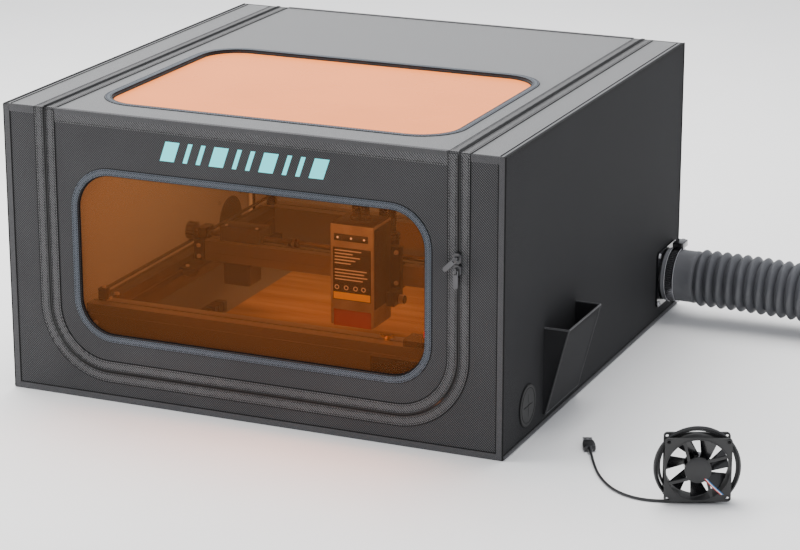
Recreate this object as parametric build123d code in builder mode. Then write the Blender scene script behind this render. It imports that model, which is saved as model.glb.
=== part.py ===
"""Desktop laser cutter: a frame engraver inside a zip-up fabric enclosure, with its exhaust hose and fan.

Frame: origin on the floor at the middle of the enclosure, +X to the right, -Y to the front, +Z up.
All sizes are in millimetres.
"""
from build123d import *
import math
import os

os.makedirs("parts", exist_ok=True)

# ---------------------------------------------------------------- driving dimensions
WIDTH, DEPTH, HEIGHT = 700.0, 700.0, 390.0
BOARD = 4.0                      # thickness of every fabric-covered stiff board
GAP = 0.3                        # clearance between neighbouring boards
HX, HY = WIDTH / 2, DEPTH / 2
INNER_X, INNER_Y = HX - BOARD, HY - BOARD

DOOR_HALF = 290.0                # zipper line, measured from the middle
DOOR_BOTTOM = 41.0
DOOR_RADIUS = 85.0
TAPE_WIDTH = 14.0
TAPE_THICK = 0.8
BEAD_WIDTH, BEAD_HIGH = 2.0, 2.0

WINDOW_HALF = 245.0
FRONT_WINDOW = (91.0, 309.0, 48.0)       # low edge, high edge, corner radius
TOP_WINDOW = (-290.0, 60.0, 52.0)        # front edge, rear edge, corner radius
PANE_LAP, PANE_THICK = 12.0, 1.0
TRIM_WIDTH = 9.0

FAN_PITCH = 71.5                 # screw spacing of an 80 mm fan
DUCT_Y, DUCT_Z = 291.0, 63.0
SPARE_Y, SPARE_Z = 280.0, 66.0
SCREW_HOLE = 2.2
WALL_DUCT_HOLE = 33.0
SPARE_HOLE = 39.0
PORT_Y, PORT_Z = -266.0, 46.0

POCKET_Y = (-208.0, -88.0)
POCKET_Z = (15.0, 132.0)
POCKET_OUT_TOP, POCKET_OUT_LOW, POCKET_WALL = 34.0, 4.0, 3.0

FRAME_X = 286.0                  # outer face of the engraver's side rails
RAIL_WIDE = 24.0
RAIL_LOW, FRAME_TOP = 60.0, 100.0
FRONT_BEAM = (-263.0, -228.0)
REAR_BEAM = (265.0, 300.0)
BEAM_LOW = 38.0
SLOT_Z = 82.0
WHEEL_RADIUS, WHEEL_X = 12.0, 251.9
WHEEL_Y = (-30.0, 60.0)

GANTRY_Y = (0.0, 30.0)
GANTRY_Z = (92.6, 121.6)
GANTRY_HALF = 243.8
SHAFT_Y, SHAFT_Z, SHAFT_R = 20.0, 127.5, 4.0
PULLEY_X, PULLEY_R = 273.0, 12.0

HEAD_X = (-15.0, 50.0)
HEAD_Y = (-68.0, -8.4)
HEAD_Z = (48.0, 191.0)
CARRIAGE_X = (-27.0, 64.0)
LOOM_X = (11.0, 24.6)
LOOM_R = 6.3

HOSE_CREST, HOSE_BORE = 41.0, 33.0
CUFF_OUT, CUFF_IN = 37.0, 34.8
HOSE_START = 402.0
FAN_SIZE, FAN_DEEP = 80.0, 25.0
FAN_AT = (611.0, -380.0, 44.0)
FAN_TURN = 23.4                  # the fan faces the viewer's side, in degrees about +Z
LEAD_R = 1.75


def save(builder, name):
    """Label a finished sub-part and write it as one STEP file."""
    builder.part.label = name
    export_step(builder.part, "parts/" + name + ".step")


def bend_radii(points, name):
    """Radius of each corner's arc, as large as the two runs beside it allow."""
    radii = []
    for before, at, after in zip(points, points[1:], points[2:]):
        run_in = Vector(*at) - Vector(*before)
        run_out = Vector(*after) - Vector(*at)
        half_turn = math.radians(run_in.get_angle(run_out)) / 2
        radii.append(0.45 * min(run_in.length, run_out.length) / math.tan(half_turn))
    print(name, "radii", [round(radius, 1) for radius in radii])
    return radii


def check_tube(builder, section, path, name):
    """Print a swept tube's volume beside its section times its length."""
    length = sum(edge.length for edge in path.edges())
    print(name, "length", round(length, 1), "volume", round(builder.part.volume), "expected", round(section * length))


def block(x_span, y_span, z_span, mode=Mode.ADD):
    """A box between two corners, inside the sub-part that is being made."""
    centre = [(low + high) / 2 for low, high in (x_span, y_span, z_span)]
    with Locations(tuple(centre)):
        Box(x_span[1] - x_span[0], y_span[1] - y_span[0], z_span[1] - z_span[0], mode=mode)


def door_shape(half_width, bottom, radius, mode=Mode.ADD):
    """U-shaped door outline that runs out past the top edge."""
    tall = HEIGHT + 2 * radius - bottom
    with Locations((0, bottom + tall / 2)):
        RectangleRounded(2 * half_width, tall, radius, mode=mode)


def window_shape(low, high, radius, grow, mode=Mode.ADD):
    """Window outline in the panel's own plane, grown by an offset."""
    with Locations((0, (low + high) / 2)):
        RectangleRounded(2 * (WINDOW_HALF + grow), high - low + 2 * grow, radius + grow, mode=mode)


# ---------------------------------------------------------------- enclosure boards
with BuildPart() as floor_panel:
    block((-INNER_X + GAP, INNER_X - GAP), (-INNER_Y + GAP, INNER_Y - GAP), (0, BOARD))
save(floor_panel, "floor_panel")

with BuildPart() as left_wall:
    block((-HX, -INNER_X), (-HY, HY), (0, HEIGHT))
    with BuildSketch(Plane.YZ.offset(-HX)):
        with Locations((SPARE_Y, SPARE_Z)):
            Circle(SPARE_HOLE)
            with GridLocations(FAN_PITCH, FAN_PITCH, 2, 2):
                Circle(SCREW_HOLE)
    extrude(amount=BOARD, mode=Mode.SUBTRACT)
save(left_wall, "left_wall")

with BuildPart() as right_wall:
    block((INNER_X, HX), (-HY, HY), (0, HEIGHT))
    with BuildSketch(Plane.YZ.offset(INNER_X)):
        with Locations((DUCT_Y, DUCT_Z)):
            Circle(WALL_DUCT_HOLE)
            with GridLocations(FAN_PITCH, FAN_PITCH, 2, 2):
                Circle(SCREW_HOLE)
        with Locations((PORT_Y, PORT_Z)):
            Circle(23)
    extrude(amount=BOARD, mode=Mode.SUBTRACT)
save(right_wall, "right_wall")

with BuildPart() as back_wall:
    block((-INNER_X + GAP, INNER_X - GAP), (INNER_Y, HY), (0, HEIGHT))
save(back_wall, "back_wall")

with BuildPart() as front_border:
    block((-INNER_X + GAP, INNER_X - GAP), (-HY, -INNER_Y), (0, HEIGHT))
    with BuildSketch(Plane.XZ.offset(INNER_Y)):
        door_shape(DOOR_HALF, DOOR_BOTTOM, DOOR_RADIUS)
    extrude(amount=BOARD, mode=Mode.SUBTRACT)
save(front_border, "front_border")

TOP_LOW = HEIGHT - BOARD
TOP_Y = INNER_Y - GAP
with BuildPart() as top_side_strips:
    for side in (-1, 1):
        span = sorted((side * DOOR_HALF, side * (INNER_X - GAP)))
        block(span, (-TOP_Y, TOP_Y), (TOP_LOW, HEIGHT))
save(top_side_strips, "top_side_strips")

ROD_R = 3.0
ROD_AT = 341.0
STRIP_ROD_X = 318.0
with BuildPart() as support_rods:
    with Locations((0, 0, (BOARD + TOP_LOW) / 2)):
        with GridLocations(2 * ROD_AT, 2 * ROD_AT, 2, 2):
            Cylinder(ROD_R, TOP_LOW - BOARD - 2 * GAP)
    with BuildSketch(Plane.XZ.offset(-338)):
        with Locations((-STRIP_ROD_X, TOP_LOW - GAP - ROD_R), (STRIP_ROD_X, TOP_LOW - GAP - ROD_R)):
            Circle(ROD_R)
    extrude(amount=2 * 338)
save(support_rods, "support_rods")

# ---------------------------------------------------------------- flaps, windows and trims
FLAP_HALF = DOOR_HALF - 0.5
with BuildPart() as top_flap_panel:
    block((-FLAP_HALF, FLAP_HALF), (-TOP_Y, TOP_Y), (TOP_LOW, HEIGHT))
    with BuildSketch(Plane.XY.offset(TOP_LOW)):
        window_shape(*TOP_WINDOW, grow=0)
    extrude(amount=BOARD, mode=Mode.SUBTRACT)
save(top_flap_panel, "top_flap_panel")

with BuildPart() as top_window:
    with BuildSketch(Plane.XY.offset(TOP_LOW - PANE_THICK - 0.1)):
        window_shape(*TOP_WINDOW, grow=PANE_LAP)
    extrude(amount=PANE_THICK)
save(top_window, "top_window")

with BuildPart() as top_window_trim:
    with BuildSketch(Plane.XY.offset(HEIGHT)):
        window_shape(*TOP_WINDOW, grow=TRIM_WIDTH)
        window_shape(*TOP_WINDOW, grow=0, mode=Mode.SUBTRACT)
    extrude(amount=TAPE_THICK)
save(top_window_trim, "top_window_trim")

FLAP_TOP = HEIGHT - GAP
with BuildPart() as front_flap_panel:
    with BuildSketch(Plane.XZ.offset(INNER_Y)):
        door_shape(FLAP_HALF, DOOR_BOTTOM + 0.5, DOOR_RADIUS - 0.5)
        with Locations((0, FLAP_TOP / 2)):
            Rectangle(WIDTH, FLAP_TOP, mode=Mode.INTERSECT)
        window_shape(*FRONT_WINDOW, grow=0, mode=Mode.SUBTRACT)
    extrude(amount=BOARD)
save(front_flap_panel, "front_flap_panel")

with BuildPart() as front_window:
    with BuildSketch(Plane.XZ.offset(INNER_Y - PANE_THICK - 0.1)):
        window_shape(*FRONT_WINDOW, grow=PANE_LAP)
    extrude(amount=PANE_THICK)
save(front_window, "front_window")

with BuildPart() as front_window_trim:
    with BuildSketch(Plane.XZ.offset(HY)):
        window_shape(*FRONT_WINDOW, grow=TRIM_WIDTH)
        window_shape(*FRONT_WINDOW, grow=0, mode=Mode.SUBTRACT)
    extrude(amount=TAPE_THICK)
save(front_window_trim, "front_window_trim")

# ---------------------------------------------------------------- zippers
TOOTH_GAP = 0.5                  # half the gap between the two rows of the closed chain
CHAIN_X = DOOR_HALF - 0.2        # middle of the chain


def door_ring(inner_grow, outer_grow):
    """Sketch of a band that follows the door outline, between two offsets from the chain line."""
    door_shape(CHAIN_X + outer_grow, DOOR_BOTTOM - outer_grow, DOOR_RADIUS + outer_grow)
    door_shape(CHAIN_X + inner_grow, DOOR_BOTTOM - inner_grow, DOOR_RADIUS + inner_grow, mode=Mode.SUBTRACT)
    with Locations((0, FLAP_TOP / 2)):
        Rectangle(WIDTH, FLAP_TOP, mode=Mode.INTERSECT)


with BuildPart() as zipper_fixed_side:
    with BuildSketch(Plane.XZ.offset(HY)):
        door_ring(TOOTH_GAP, TOOTH_GAP + TAPE_WIDTH)
    extrude(amount=TAPE_THICK)
    with BuildSketch(Plane.XZ.offset(HY)):
        door_ring(TOOTH_GAP, TOOTH_GAP + BEAD_WIDTH)
    extrude(amount=BEAD_HIGH)
    for side in (-1, 1):
        near, tape, bead = (CHAIN_X + TOOTH_GAP + wide for wide in (0, TAPE_WIDTH, BEAD_WIDTH))
        block(sorted((side * near, side * tape)), (-TOP_Y, TOP_Y), (HEIGHT, HEIGHT + TAPE_THICK))
        block(sorted((side * near, side * bead)), (-TOP_Y, TOP_Y), (HEIGHT, HEIGHT + BEAD_HIGH))
save(zipper_fixed_side, "zipper_fixed_side")

with BuildPart() as zipper_top_side:
    for side in (-1, 1):
        near, tape, bead = (CHAIN_X - TOOTH_GAP - wide for wide in (0, TAPE_WIDTH, BEAD_WIDTH))
        block(sorted((side * near, side * tape)), (-TOP_Y, TOP_Y), (HEIGHT, HEIGHT + TAPE_THICK))
        block(sorted((side * near, side * bead)), (-TOP_Y, TOP_Y), (HEIGHT, HEIGHT + BEAD_HIGH))
save(zipper_top_side, "zipper_top_side")

with BuildPart() as zipper_front_side:
    with BuildSketch(Plane.XZ.offset(HY)):
        door_ring(-TOOTH_GAP - TAPE_WIDTH, -TOOTH_GAP)
    extrude(amount=TAPE_THICK)
    with BuildSketch(Plane.XZ.offset(HY)):
        door_ring(-TOOTH_GAP - BEAD_WIDTH, -TOOTH_GAP)
    extrude(amount=BEAD_HIGH)
save(zipper_front_side, "zipper_front_side")

SLIDER_FRONT = HY + 7.4          # outer face of the slider body
PIN_Y = HY + 9.5                 # axis of the pull tab's pin
PIN_R = 1.15
SLIDER_PLACES = {"upper": (258.0, 45.0), "lower": (243.0, 0.0)}


def pull_plane(height, lean):
    """Plane at the pull tab's pin: +x along the pin, -y along the tab, +z out of the door."""
    turn = math.radians(lean)
    return Plane(origin=(CHAIN_X, -PIN_Y, height), x_dir=(math.cos(turn), 0, -math.sin(turn)), z_dir=(0, -1, 0))


def make_slider(height, lean):
    """Zipper slider that rides over the chain, with the drilled lug that holds its pull tab."""
    lug_plane = pull_plane(height, lean)
    with BuildPart() as slider:
        with BuildSketch(Plane.XZ.offset(HY + BEAD_HIGH + 0.4)):
            with Locations((CHAIN_X, height)):
                RectangleRounded(9, 14, 3)
        extrude(amount=5)
        with BuildSketch(lug_plane.offset(SLIDER_FRONT - PIN_Y - 0.5)):
            Rectangle(2.4, 7)
        extrude(amount=4.6)
        with BuildSketch(Plane(lug_plane.origin, x_dir=lug_plane.y_dir, z_dir=lug_plane.x_dir)):
            Circle(PIN_R + 0.1)
        extrude(amount=2, both=True, mode=Mode.SUBTRACT)
    return slider


def make_pull(height, lean):
    """Pull tab: a pin through the lug, two side arms and a long rounded grip."""
    tab_plane = pull_plane(height, lean)
    with BuildPart() as pull:
        with BuildSketch(Plane(tab_plane.origin, x_dir=tab_plane.y_dir, z_dir=tab_plane.x_dir)):
            Circle(PIN_R)
        extrude(amount=3.1, both=True)
        with BuildSketch(tab_plane.offset(-0.8)):
            with Locations((-2.4, -2.7), (2.4, -2.7)):
                Rectangle(1.4, 7.4)
            with Locations((0, -14)):
                SlotOverall(18, 6.2, rotation=90)
        extrude(amount=1.6)
    return pull


for place, (slider_z, tab_lean) in SLIDER_PLACES.items():
    save(make_slider(slider_z, tab_lean), "zipper_slider_" + place)
    save(make_pull(slider_z, tab_lean), "pull_tab_" + place)

# ---------------------------------------------------------------- pocket and ports on the side walls
with BuildPart() as tool_pocket:
    with BuildSketch(Plane.XZ.offset(-POCKET_Y[1])):
        with BuildLine():
            Polyline((HX, POCKET_Z[0]), (HX + POCKET_OUT_LOW, POCKET_Z[0]), (HX + POCKET_OUT_TOP, POCKET_Z[1]),
                     (HX, POCKET_Z[1]), close=True)
        make_face()
    extrude(amount=POCKET_Y[1] - POCKET_Y[0])
    with BuildSketch(Plane.XZ.offset(-POCKET_Y[1] + POCKET_WALL)):
        with BuildLine():
            Polyline((HX, POCKET_Z[0] + 4), (HX + 2, POCKET_Z[0] + 4),
                     (HX + POCKET_OUT_TOP - POCKET_WALL, POCKET_Z[1] + 1), (HX, POCKET_Z[1] + 1), close=True)
        make_face()
    extrude(amount=POCKET_Y[1] - POCKET_Y[0] - 2 * POCKET_WALL, mode=Mode.SUBTRACT)
save(tool_pocket, "tool_pocket")

with BuildPart() as cable_port:
    with BuildSketch(Plane.YZ.offset(HX)):
        with Locations((PORT_Y, PORT_Z)):
            Circle(27)
    extrude(amount=2)
    with BuildSketch(Plane.YZ.offset(INNER_X)):
        with Locations((PORT_Y, PORT_Z)):
            Circle(23 - GAP)
    extrude(amount=BOARD)
    with BuildSketch(Plane.YZ.offset(INNER_X - 1)):
        with Locations((PORT_Y, PORT_Z)):
            Rectangle(30, 1.2)
            Rectangle(1.2, 30)
    extrude(amount=BOARD + 4, mode=Mode.SUBTRACT)
save(cable_port, "cable_port")

with BuildPart() as spare_port_cover:
    with BuildSketch(Plane.YZ.offset(-HX)):
        with Locations((SPARE_Y, SPARE_Z)):
            Circle(SPARE_HOLE + 4)
    extrude(amount=-2)
    with BuildSketch(Plane.YZ.offset(-HX)):
        with Locations((SPARE_Y, SPARE_Z)):
            Circle(SPARE_HOLE - GAP)
    extrude(amount=BOARD)
save(spare_port_cover, "spare_port_cover")

# ---------------------------------------------------------------- exhaust connection and hose
FLANGE_THICK = 3.0
SPIGOT_OUT, SPIGOT_IN = 34.5, 32.0
with BuildPart() as duct_flange:
    with BuildSketch(Plane.YZ.offset(HX)):
        with Locations((DUCT_Y, DUCT_Z)):
            RectangleRounded(82, 82, 7)
            Circle(SPIGOT_IN, mode=Mode.SUBTRACT)
            with GridLocations(FAN_PITCH, FAN_PITCH, 2, 2):
                Circle(SCREW_HOLE, mode=Mode.SUBTRACT)
    extrude(amount=FLANGE_THICK)
    with BuildSketch(Plane.YZ.offset(HX)):
        with Locations((DUCT_Y, DUCT_Z)):
            Circle(SPIGOT_OUT)
            Circle(SPIGOT_IN, mode=Mode.SUBTRACT)
    extrude(amount=36)
save(duct_flange, "duct_flange")

SCREW_R, NUT_ACROSS = 1.95, 7.0
with BuildPart() as flange_screws:
    with BuildSketch(Plane.YZ.offset(HX + FLANGE_THICK)):
        with Locations((DUCT_Y, DUCT_Z)):
            with GridLocations(FAN_PITCH, FAN_PITCH, 2, 2):
                Circle(3.6)
    extrude(amount=2.4)
    with BuildSketch(Plane.YZ.offset(INNER_X - 5)):
        with Locations((DUCT_Y, DUCT_Z)):
            with GridLocations(FAN_PITCH, FAN_PITCH, 2, 2):
                Circle(SCREW_R)
    extrude(amount=BOARD + FLANGE_THICK + 5.2)
    with BuildSketch(Plane.YZ.offset(INNER_X - 3.4)):
        with Locations((DUCT_Y, DUCT_Z)):
            with GridLocations(FAN_PITCH, FAN_PITCH, 2, 2):
                RegularPolygon(NUT_ACROSS / 2, 6, major_radius=False)
    extrude(amount=3.2)
save(flange_screws, "flange_screws")

with BuildPart() as hose_inlet_cuff:
    with BuildSketch(Plane.YZ.offset(HX + FLANGE_THICK + 2)):
        with Locations((DUCT_Y, DUCT_Z)):
            Circle(CUFF_OUT)
            Circle(CUFF_IN, mode=Mode.SUBTRACT)
    extrude(amount=HOSE_START - HX - FLANGE_THICK - 2)
save(hose_inlet_cuff, "hose_inlet_cuff")

CLAMP_X = (361.0, 374.0)
with BuildPart() as hose_clamp:
    with BuildSketch(Plane.YZ.offset(CLAMP_X[0])):
        with Locations((DUCT_Y, DUCT_Z)):
            Circle(CUFF_OUT + 1.7)
            Circle(CUFF_OUT + 0.1, mode=Mode.SUBTRACT)
    extrude(amount=CLAMP_X[1] - CLAMP_X[0])
    block((CLAMP_X[0] - 1, CLAMP_X[1] + 1), (DUCT_Y + 2, DUCT_Y + 26), (DUCT_Z + 37.4, DUCT_Z + 46))
    with BuildSketch(Plane.XZ.offset(-DUCT_Y - 26)):
        with Locations(((CLAMP_X[0] + CLAMP_X[1]) / 2, DUCT_Z + 42)):
            RegularPolygon(4.2, 6)
    extrude(amount=-5)
    with BuildSketch(Plane.YZ.offset(CLAMP_X[0] - 2)):
        with Locations((DUCT_Y, DUCT_Z)):
            Circle(CUFF_OUT + 0.1)
    extrude(amount=20, mode=Mode.SUBTRACT)
save(hose_clamp, "hose_clamp")

HOSE_ROUTE = [
    (HOSE_START, DUCT_Y, DUCT_Z),
    (560, DUCT_Y, DUCT_Z),
    (720, 287, 41.3),
    (880, 300, 41.3),
    (1020, 322, 41.3),
]
with BuildPart() as exhaust_hose:
    with BuildLine() as hose_line:
        FilletPolyline(*HOSE_ROUTE, radius=bend_radii(HOSE_ROUTE, "exhaust_hose"))
    with BuildSketch(Plane(origin=hose_line.line @ 0, z_dir=hose_line.line % 0)):
        Circle(HOSE_CREST)
        Circle(HOSE_BORE, mode=Mode.SUBTRACT)
    sweep(path=hose_line.line)
check_tube(exhaust_hose, math.pi * (HOSE_CREST ** 2 - HOSE_BORE ** 2), hose_line, "exhaust_hose")
save(exhaust_hose, "exhaust_hose")

with BuildPart() as hose_outlet_cuff:
    with BuildSketch(Plane(origin=hose_line.line @ 1, z_dir=hose_line.line % 1)):
        Circle(HOSE_CREST)
        Circle(CUFF_IN, mode=Mode.SUBTRACT)
    extrude(amount=38)
save(hose_outlet_cuff, "hose_outlet_cuff")

# ---------------------------------------------------------------- engraver frame
RAIL_IN = FRAME_X - RAIL_WIDE
with BuildPart() as front_beam:
    block((-FRAME_X, FRAME_X), FRONT_BEAM, (BEAM_LOW, FRAME_TOP))
    block((-FRAME_X, FRAME_X), (FRONT_BEAM[0], FRONT_BEAM[0] + 1.5), (86, 88), mode=Mode.SUBTRACT)
    block((-FRAME_X, FRAME_X), (FRONT_BEAM[0] + 16, FRONT_BEAM[0] + 20), (FRAME_TOP - 3, FRAME_TOP),
          mode=Mode.SUBTRACT)
save(front_beam, "front_beam")

with BuildPart() as rear_beam:
    block((-FRAME_X, FRAME_X), REAR_BEAM, (RAIL_LOW, FRAME_TOP))
    block((-FRAME_X, FRAME_X), (REAR_BEAM[0] + 15, REAR_BEAM[0] + 20), (FRAME_TOP - 3, FRAME_TOP),
          mode=Mode.SUBTRACT)
save(rear_beam, "rear_beam")

SLOT_MOUTH, SLOT_FLOOR, SLOT_DEEP = 4.5, 1.4, 2.6


def make_rail(side):
    """Side rail with a V slot on its inner and outer faces and a shallow slot on its top."""
    with BuildPart() as rail:
        with BuildSketch(Plane.XZ.offset(-REAR_BEAM[0])):
            with Locations((side * (FRAME_X + RAIL_IN) / 2, (RAIL_LOW + FRAME_TOP) / 2)):
                Rectangle(RAIL_WIDE, FRAME_TOP - RAIL_LOW)
            for face_x, inward in ((side * RAIL_IN, side), (side * FRAME_X, -side)):
                with BuildLine():
                    Polyline((face_x, SLOT_Z - SLOT_MOUTH), (face_x + inward * SLOT_DEEP, SLOT_Z - SLOT_FLOOR),
                             (face_x + inward * SLOT_DEEP, SLOT_Z + SLOT_FLOOR), (face_x, SLOT_Z + SLOT_MOUTH),
                             close=True)
                make_face(mode=Mode.SUBTRACT)
            with Locations((side * (FRAME_X - 5), FRAME_TOP - 1)):
                Rectangle(1.5, 2, mode=Mode.SUBTRACT)
        extrude(amount=REAR_BEAM[0] - FRONT_BEAM[1])
    return rail


save(make_rail(-1), "left_rail")
save(make_rail(1), "right_rail")

FOOT_R = 13.0
with BuildPart() as frame_feet:
    for side in (-1, 1):
        with BuildSketch(Plane.XY.offset(BOARD)):
            with Locations((side * 270, (FRONT_BEAM[0] + FRONT_BEAM[1]) / 2)):
                Circle(FOOT_R)
        extrude(amount=BEAM_LOW - BOARD, taper=4)
        with BuildSketch(Plane.XY.offset(BOARD)):
            with Locations((side * 270, (REAR_BEAM[0] + REAR_BEAM[1]) / 2)):
                Circle(FOOT_R)
        extrude(amount=RAIL_LOW - BOARD, taper=3)
save(frame_feet, "frame_feet")

BELT_TOP = SHAFT_Z - PULLEY_R - GAP
BELT_ENDS = (FRONT_BEAM[0] + 23, REAR_BEAM[0] + 12)
with BuildPart() as y_belts:
    for side in (-1, 1):
        span = sorted((side * (PULLEY_X - 3), side * (PULLEY_X + 3)))
        block(span, BELT_ENDS, (BELT_TOP - 1.2, BELT_TOP))
        for end_y in BELT_ENDS:
            wide = sorted((side * (PULLEY_X - 6), side * (PULLEY_X + 6)))
            block(wide, (end_y - 6, end_y + 6), (FRAME_TOP, BELT_TOP + 2))
save(y_belts, "y_belts")

LINK_PITCH = 14.0
CHAIN_Y0, LINKS = -214.0, 19
with BuildPart() as y_cable_chain:
    block((-250, -238), (CHAIN_Y0, CHAIN_Y0 + LINKS * LINK_PITCH), (6, 15))
    for link in range(LINKS):
        low_y = CHAIN_Y0 + link * LINK_PITCH + 2
        block((-252, -236), (low_y, low_y + LINK_PITCH - 4), (BOARD, 18))
save(y_cable_chain, "y_cable_chain")

BOX_TOP = FRAME_TOP + 8
BUTTON_AT = (210.0, -248.0)
BUTTON_R, BUTTON_STEM_R, BUTTON_LIFT, BUTTON_DEEP = 9.0, 5.0, 5.0, 8.0
with BuildPart() as control_box:
    block((176, 262), (FRONT_BEAM[0] + 2, FRONT_BEAM[1]), (FRAME_TOP, BOX_TOP))
    fillet(control_box.edges().filter_by(Axis.Z), 3)
    with BuildSketch(Plane.XY.offset(BOX_TOP)):
        with Locations(BUTTON_AT):
            Circle(BUTTON_STEM_R + 0.5)
    extrude(amount=-BUTTON_LIFT, mode=Mode.SUBTRACT)
save(control_box, "control_box")

with BuildPart() as stop_button:
    with BuildSketch(Plane.XY.offset(BOX_TOP + BUTTON_LIFT)):
        with Locations(BUTTON_AT):
            Circle(BUTTON_R)
    extrude(amount=BUTTON_DEEP)
    fillet(stop_button.faces().sort_by(Axis.Z)[-1].edges(), 2.5)
    with BuildSketch(Plane.XY.offset(BOX_TOP + GAP)):
        with Locations(BUTTON_AT):
            Circle(BUTTON_STEM_R)
    extrude(amount=BUTTON_LIFT - GAP)
save(stop_button, "stop_button")

with BuildPart() as work_board:
    block((-222, 215), (-222, 240), (BOARD, BOARD + 6))
save(work_board, "work_board")

# ---------------------------------------------------------------- gantry
with BuildPart() as gantry_beam:
    block((-GANTRY_HALF, GANTRY_HALF), GANTRY_Y, GANTRY_Z)
    block((-GANTRY_HALF, GANTRY_HALF), (0, 1.2), (104, 106), mode=Mode.SUBTRACT)
    block((-GANTRY_HALF, GANTRY_HALF), (12, 17), (GANTRY_Z[1] - 2.5, GANTRY_Z[1]), mode=Mode.SUBTRACT)
save(gantry_beam, "gantry_beam")

PLATE_Z = (88.6, GANTRY_Z[0])
AXLE_R = 2.5


def make_carriage(side):
    """End carriage: wheel plate, end block beside the beam, shaft bearing post and two wheel axles."""
    with BuildPart() as carriage:
        block(sorted((side * 236, side * 260)), (-45, 75), PLATE_Z)
        block(sorted((side * GANTRY_HALF, side * 260)), (-2, 36), (PLATE_Z[0], GANTRY_Z[1]))
        block(sorted((side * 246, side * 258)), (8, 32), (PLATE_Z[0], 137))
        with BuildSketch(Plane.XY.offset(SLOT_Z - 7)):
            with Locations((side * WHEEL_X, WHEEL_Y[0]), (side * WHEEL_X, WHEEL_Y[1])):
                Circle(AXLE_R)
        extrude(amount=PLATE_Z[0] - SLOT_Z + 8)
        with BuildSketch(Plane.YZ.offset(side * 252)):
            with Locations((SHAFT_Y, SHAFT_Z)):
                Circle(SHAFT_R + 0.08)
        extrude(amount=12, both=True, mode=Mode.SUBTRACT)
    return carriage


save(make_carriage(-1), "left_carriage")
save(make_carriage(1), "right_carriage")


def make_wheel(side, wheel_y):
    """V wheel that runs in the rail's inner slot on a fixed axle."""
    with BuildPart() as wheel:
        with BuildSketch(Plane(origin=(side * WHEEL_X, wheel_y, SLOT_Z), x_dir=(1, 0, 0), z_dir=(0, -1, 0))):
            with BuildLine():
                Polyline((AXLE_R + 0.08, -5), (9.2, -5), (WHEEL_RADIUS, -1), (WHEEL_RADIUS, 1), (9.2, 5),
                         (AXLE_R + 0.08, 5), close=True)
            make_face()
        revolve(axis=Axis((side * WHEEL_X, wheel_y, SLOT_Z), (0, 0, 1)))
    return wheel


for side, side_name in ((-1, "left"), (1, "right")):
    for wheel_y, row_name in zip(WHEEL_Y, ("front", "rear")):
        save(make_wheel(side, wheel_y), "y_wheel_" + side_name + "_" + row_name)

with BuildPart() as x_motor:
    block((-220, -178), (8, 50), (58, GANTRY_Z[0]))
    fillet(x_motor.edges().filter_by(Axis.Z), 4)
    block((-214, -184), (30.5, 46), (GANTRY_Z[0], GANTRY_Z[0] + 4))
save(x_motor, "x_motor")

COVER_TOP = 142.0
with BuildPart() as drive_cover:
    block((-224, -160), (8, 42), (GANTRY_Z[1], COVER_TOP))
    fillet(drive_cover.edges().filter_by(Axis.Z), 2)
    block((-221.5, -162.5), (10.5, 39.5), (GANTRY_Z[1] - 1, COVER_TOP - 2.5), mode=Mode.SUBTRACT)
    with BuildSketch(Plane.YZ.offset(-192)):
        with Locations((SHAFT_Y, SHAFT_Z)):
            Circle(SHAFT_R + 0.8)
    extrude(amount=40, both=True, mode=Mode.SUBTRACT)
save(drive_cover, "drive_cover")

COUPLING_X = -112.0
with BuildPart() as sync_shaft:
    with BuildSketch(Plane.YZ):
        with Locations((SHAFT_Y, SHAFT_Z)):
            Circle(SHAFT_R)
    extrude(amount=PULLEY_X + 8, both=True)
    for side in (-1, 1):
        for offset_x, radius, half_wide in ((0, PULLEY_R, 4.5), (-5, PULLEY_R + 1.3, 0.6), (5, PULLEY_R + 1.3, 0.6)):
            with BuildSketch(Plane.YZ.offset(side * PULLEY_X + offset_x)):
                with Locations((SHAFT_Y, SHAFT_Z)):
                    Circle(radius)
            extrude(amount=half_wide, both=True)
    with BuildSketch(Plane.YZ.offset(COUPLING_X)):
        with Locations((SHAFT_Y, SHAFT_Z)):
            Circle(5.6)
    extrude(amount=9, both=True)
save(sync_shaft, "sync_shaft")

# ---------------------------------------------------------------- laser head
LOOM_MID = sum(LOOM_X) / 2
SLEEVE_Y = 54.0
with BuildPart() as head_carriage:
    block(CARRIAGE_X, (-8, -0.4), (70, 150))
    block(CARRIAGE_X, (-0.5, 7), (GANTRY_Z[1] + 0.3, GANTRY_Z[1] + 3.6))
    block(CARRIAGE_X, (-0.5, 7), (GANTRY_Z[0] - 4, GANTRY_Z[0] - 0.4))
    block((52, CARRIAGE_X[1]), (-30, -8), (70, 90))
    block((LOOM_MID - 15, LOOM_MID + 15), (-8, SLEEVE_Y + 9), (144, 148))
    with BuildSketch(Plane.XY.offset(118)):
        with Locations((LOOM_MID, SLEEVE_Y)):
            SlotOverall(34, 20)
    extrude(amount=32)
    with BuildSketch(Plane.XY.offset(117)):
        with Locations((LOOM_X[0], SLEEVE_Y), (LOOM_X[1], SLEEVE_Y)):
            Circle(LOOM_R + 0.4)
    extrude(amount=34, mode=Mode.SUBTRACT)
    with BuildSketch(Plane.YZ.offset(51)):
        with Locations((-19, 79)):
            Circle(2.58)
    extrude(amount=14, mode=Mode.SUBTRACT)
save(head_carriage, "head_carriage")

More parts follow.
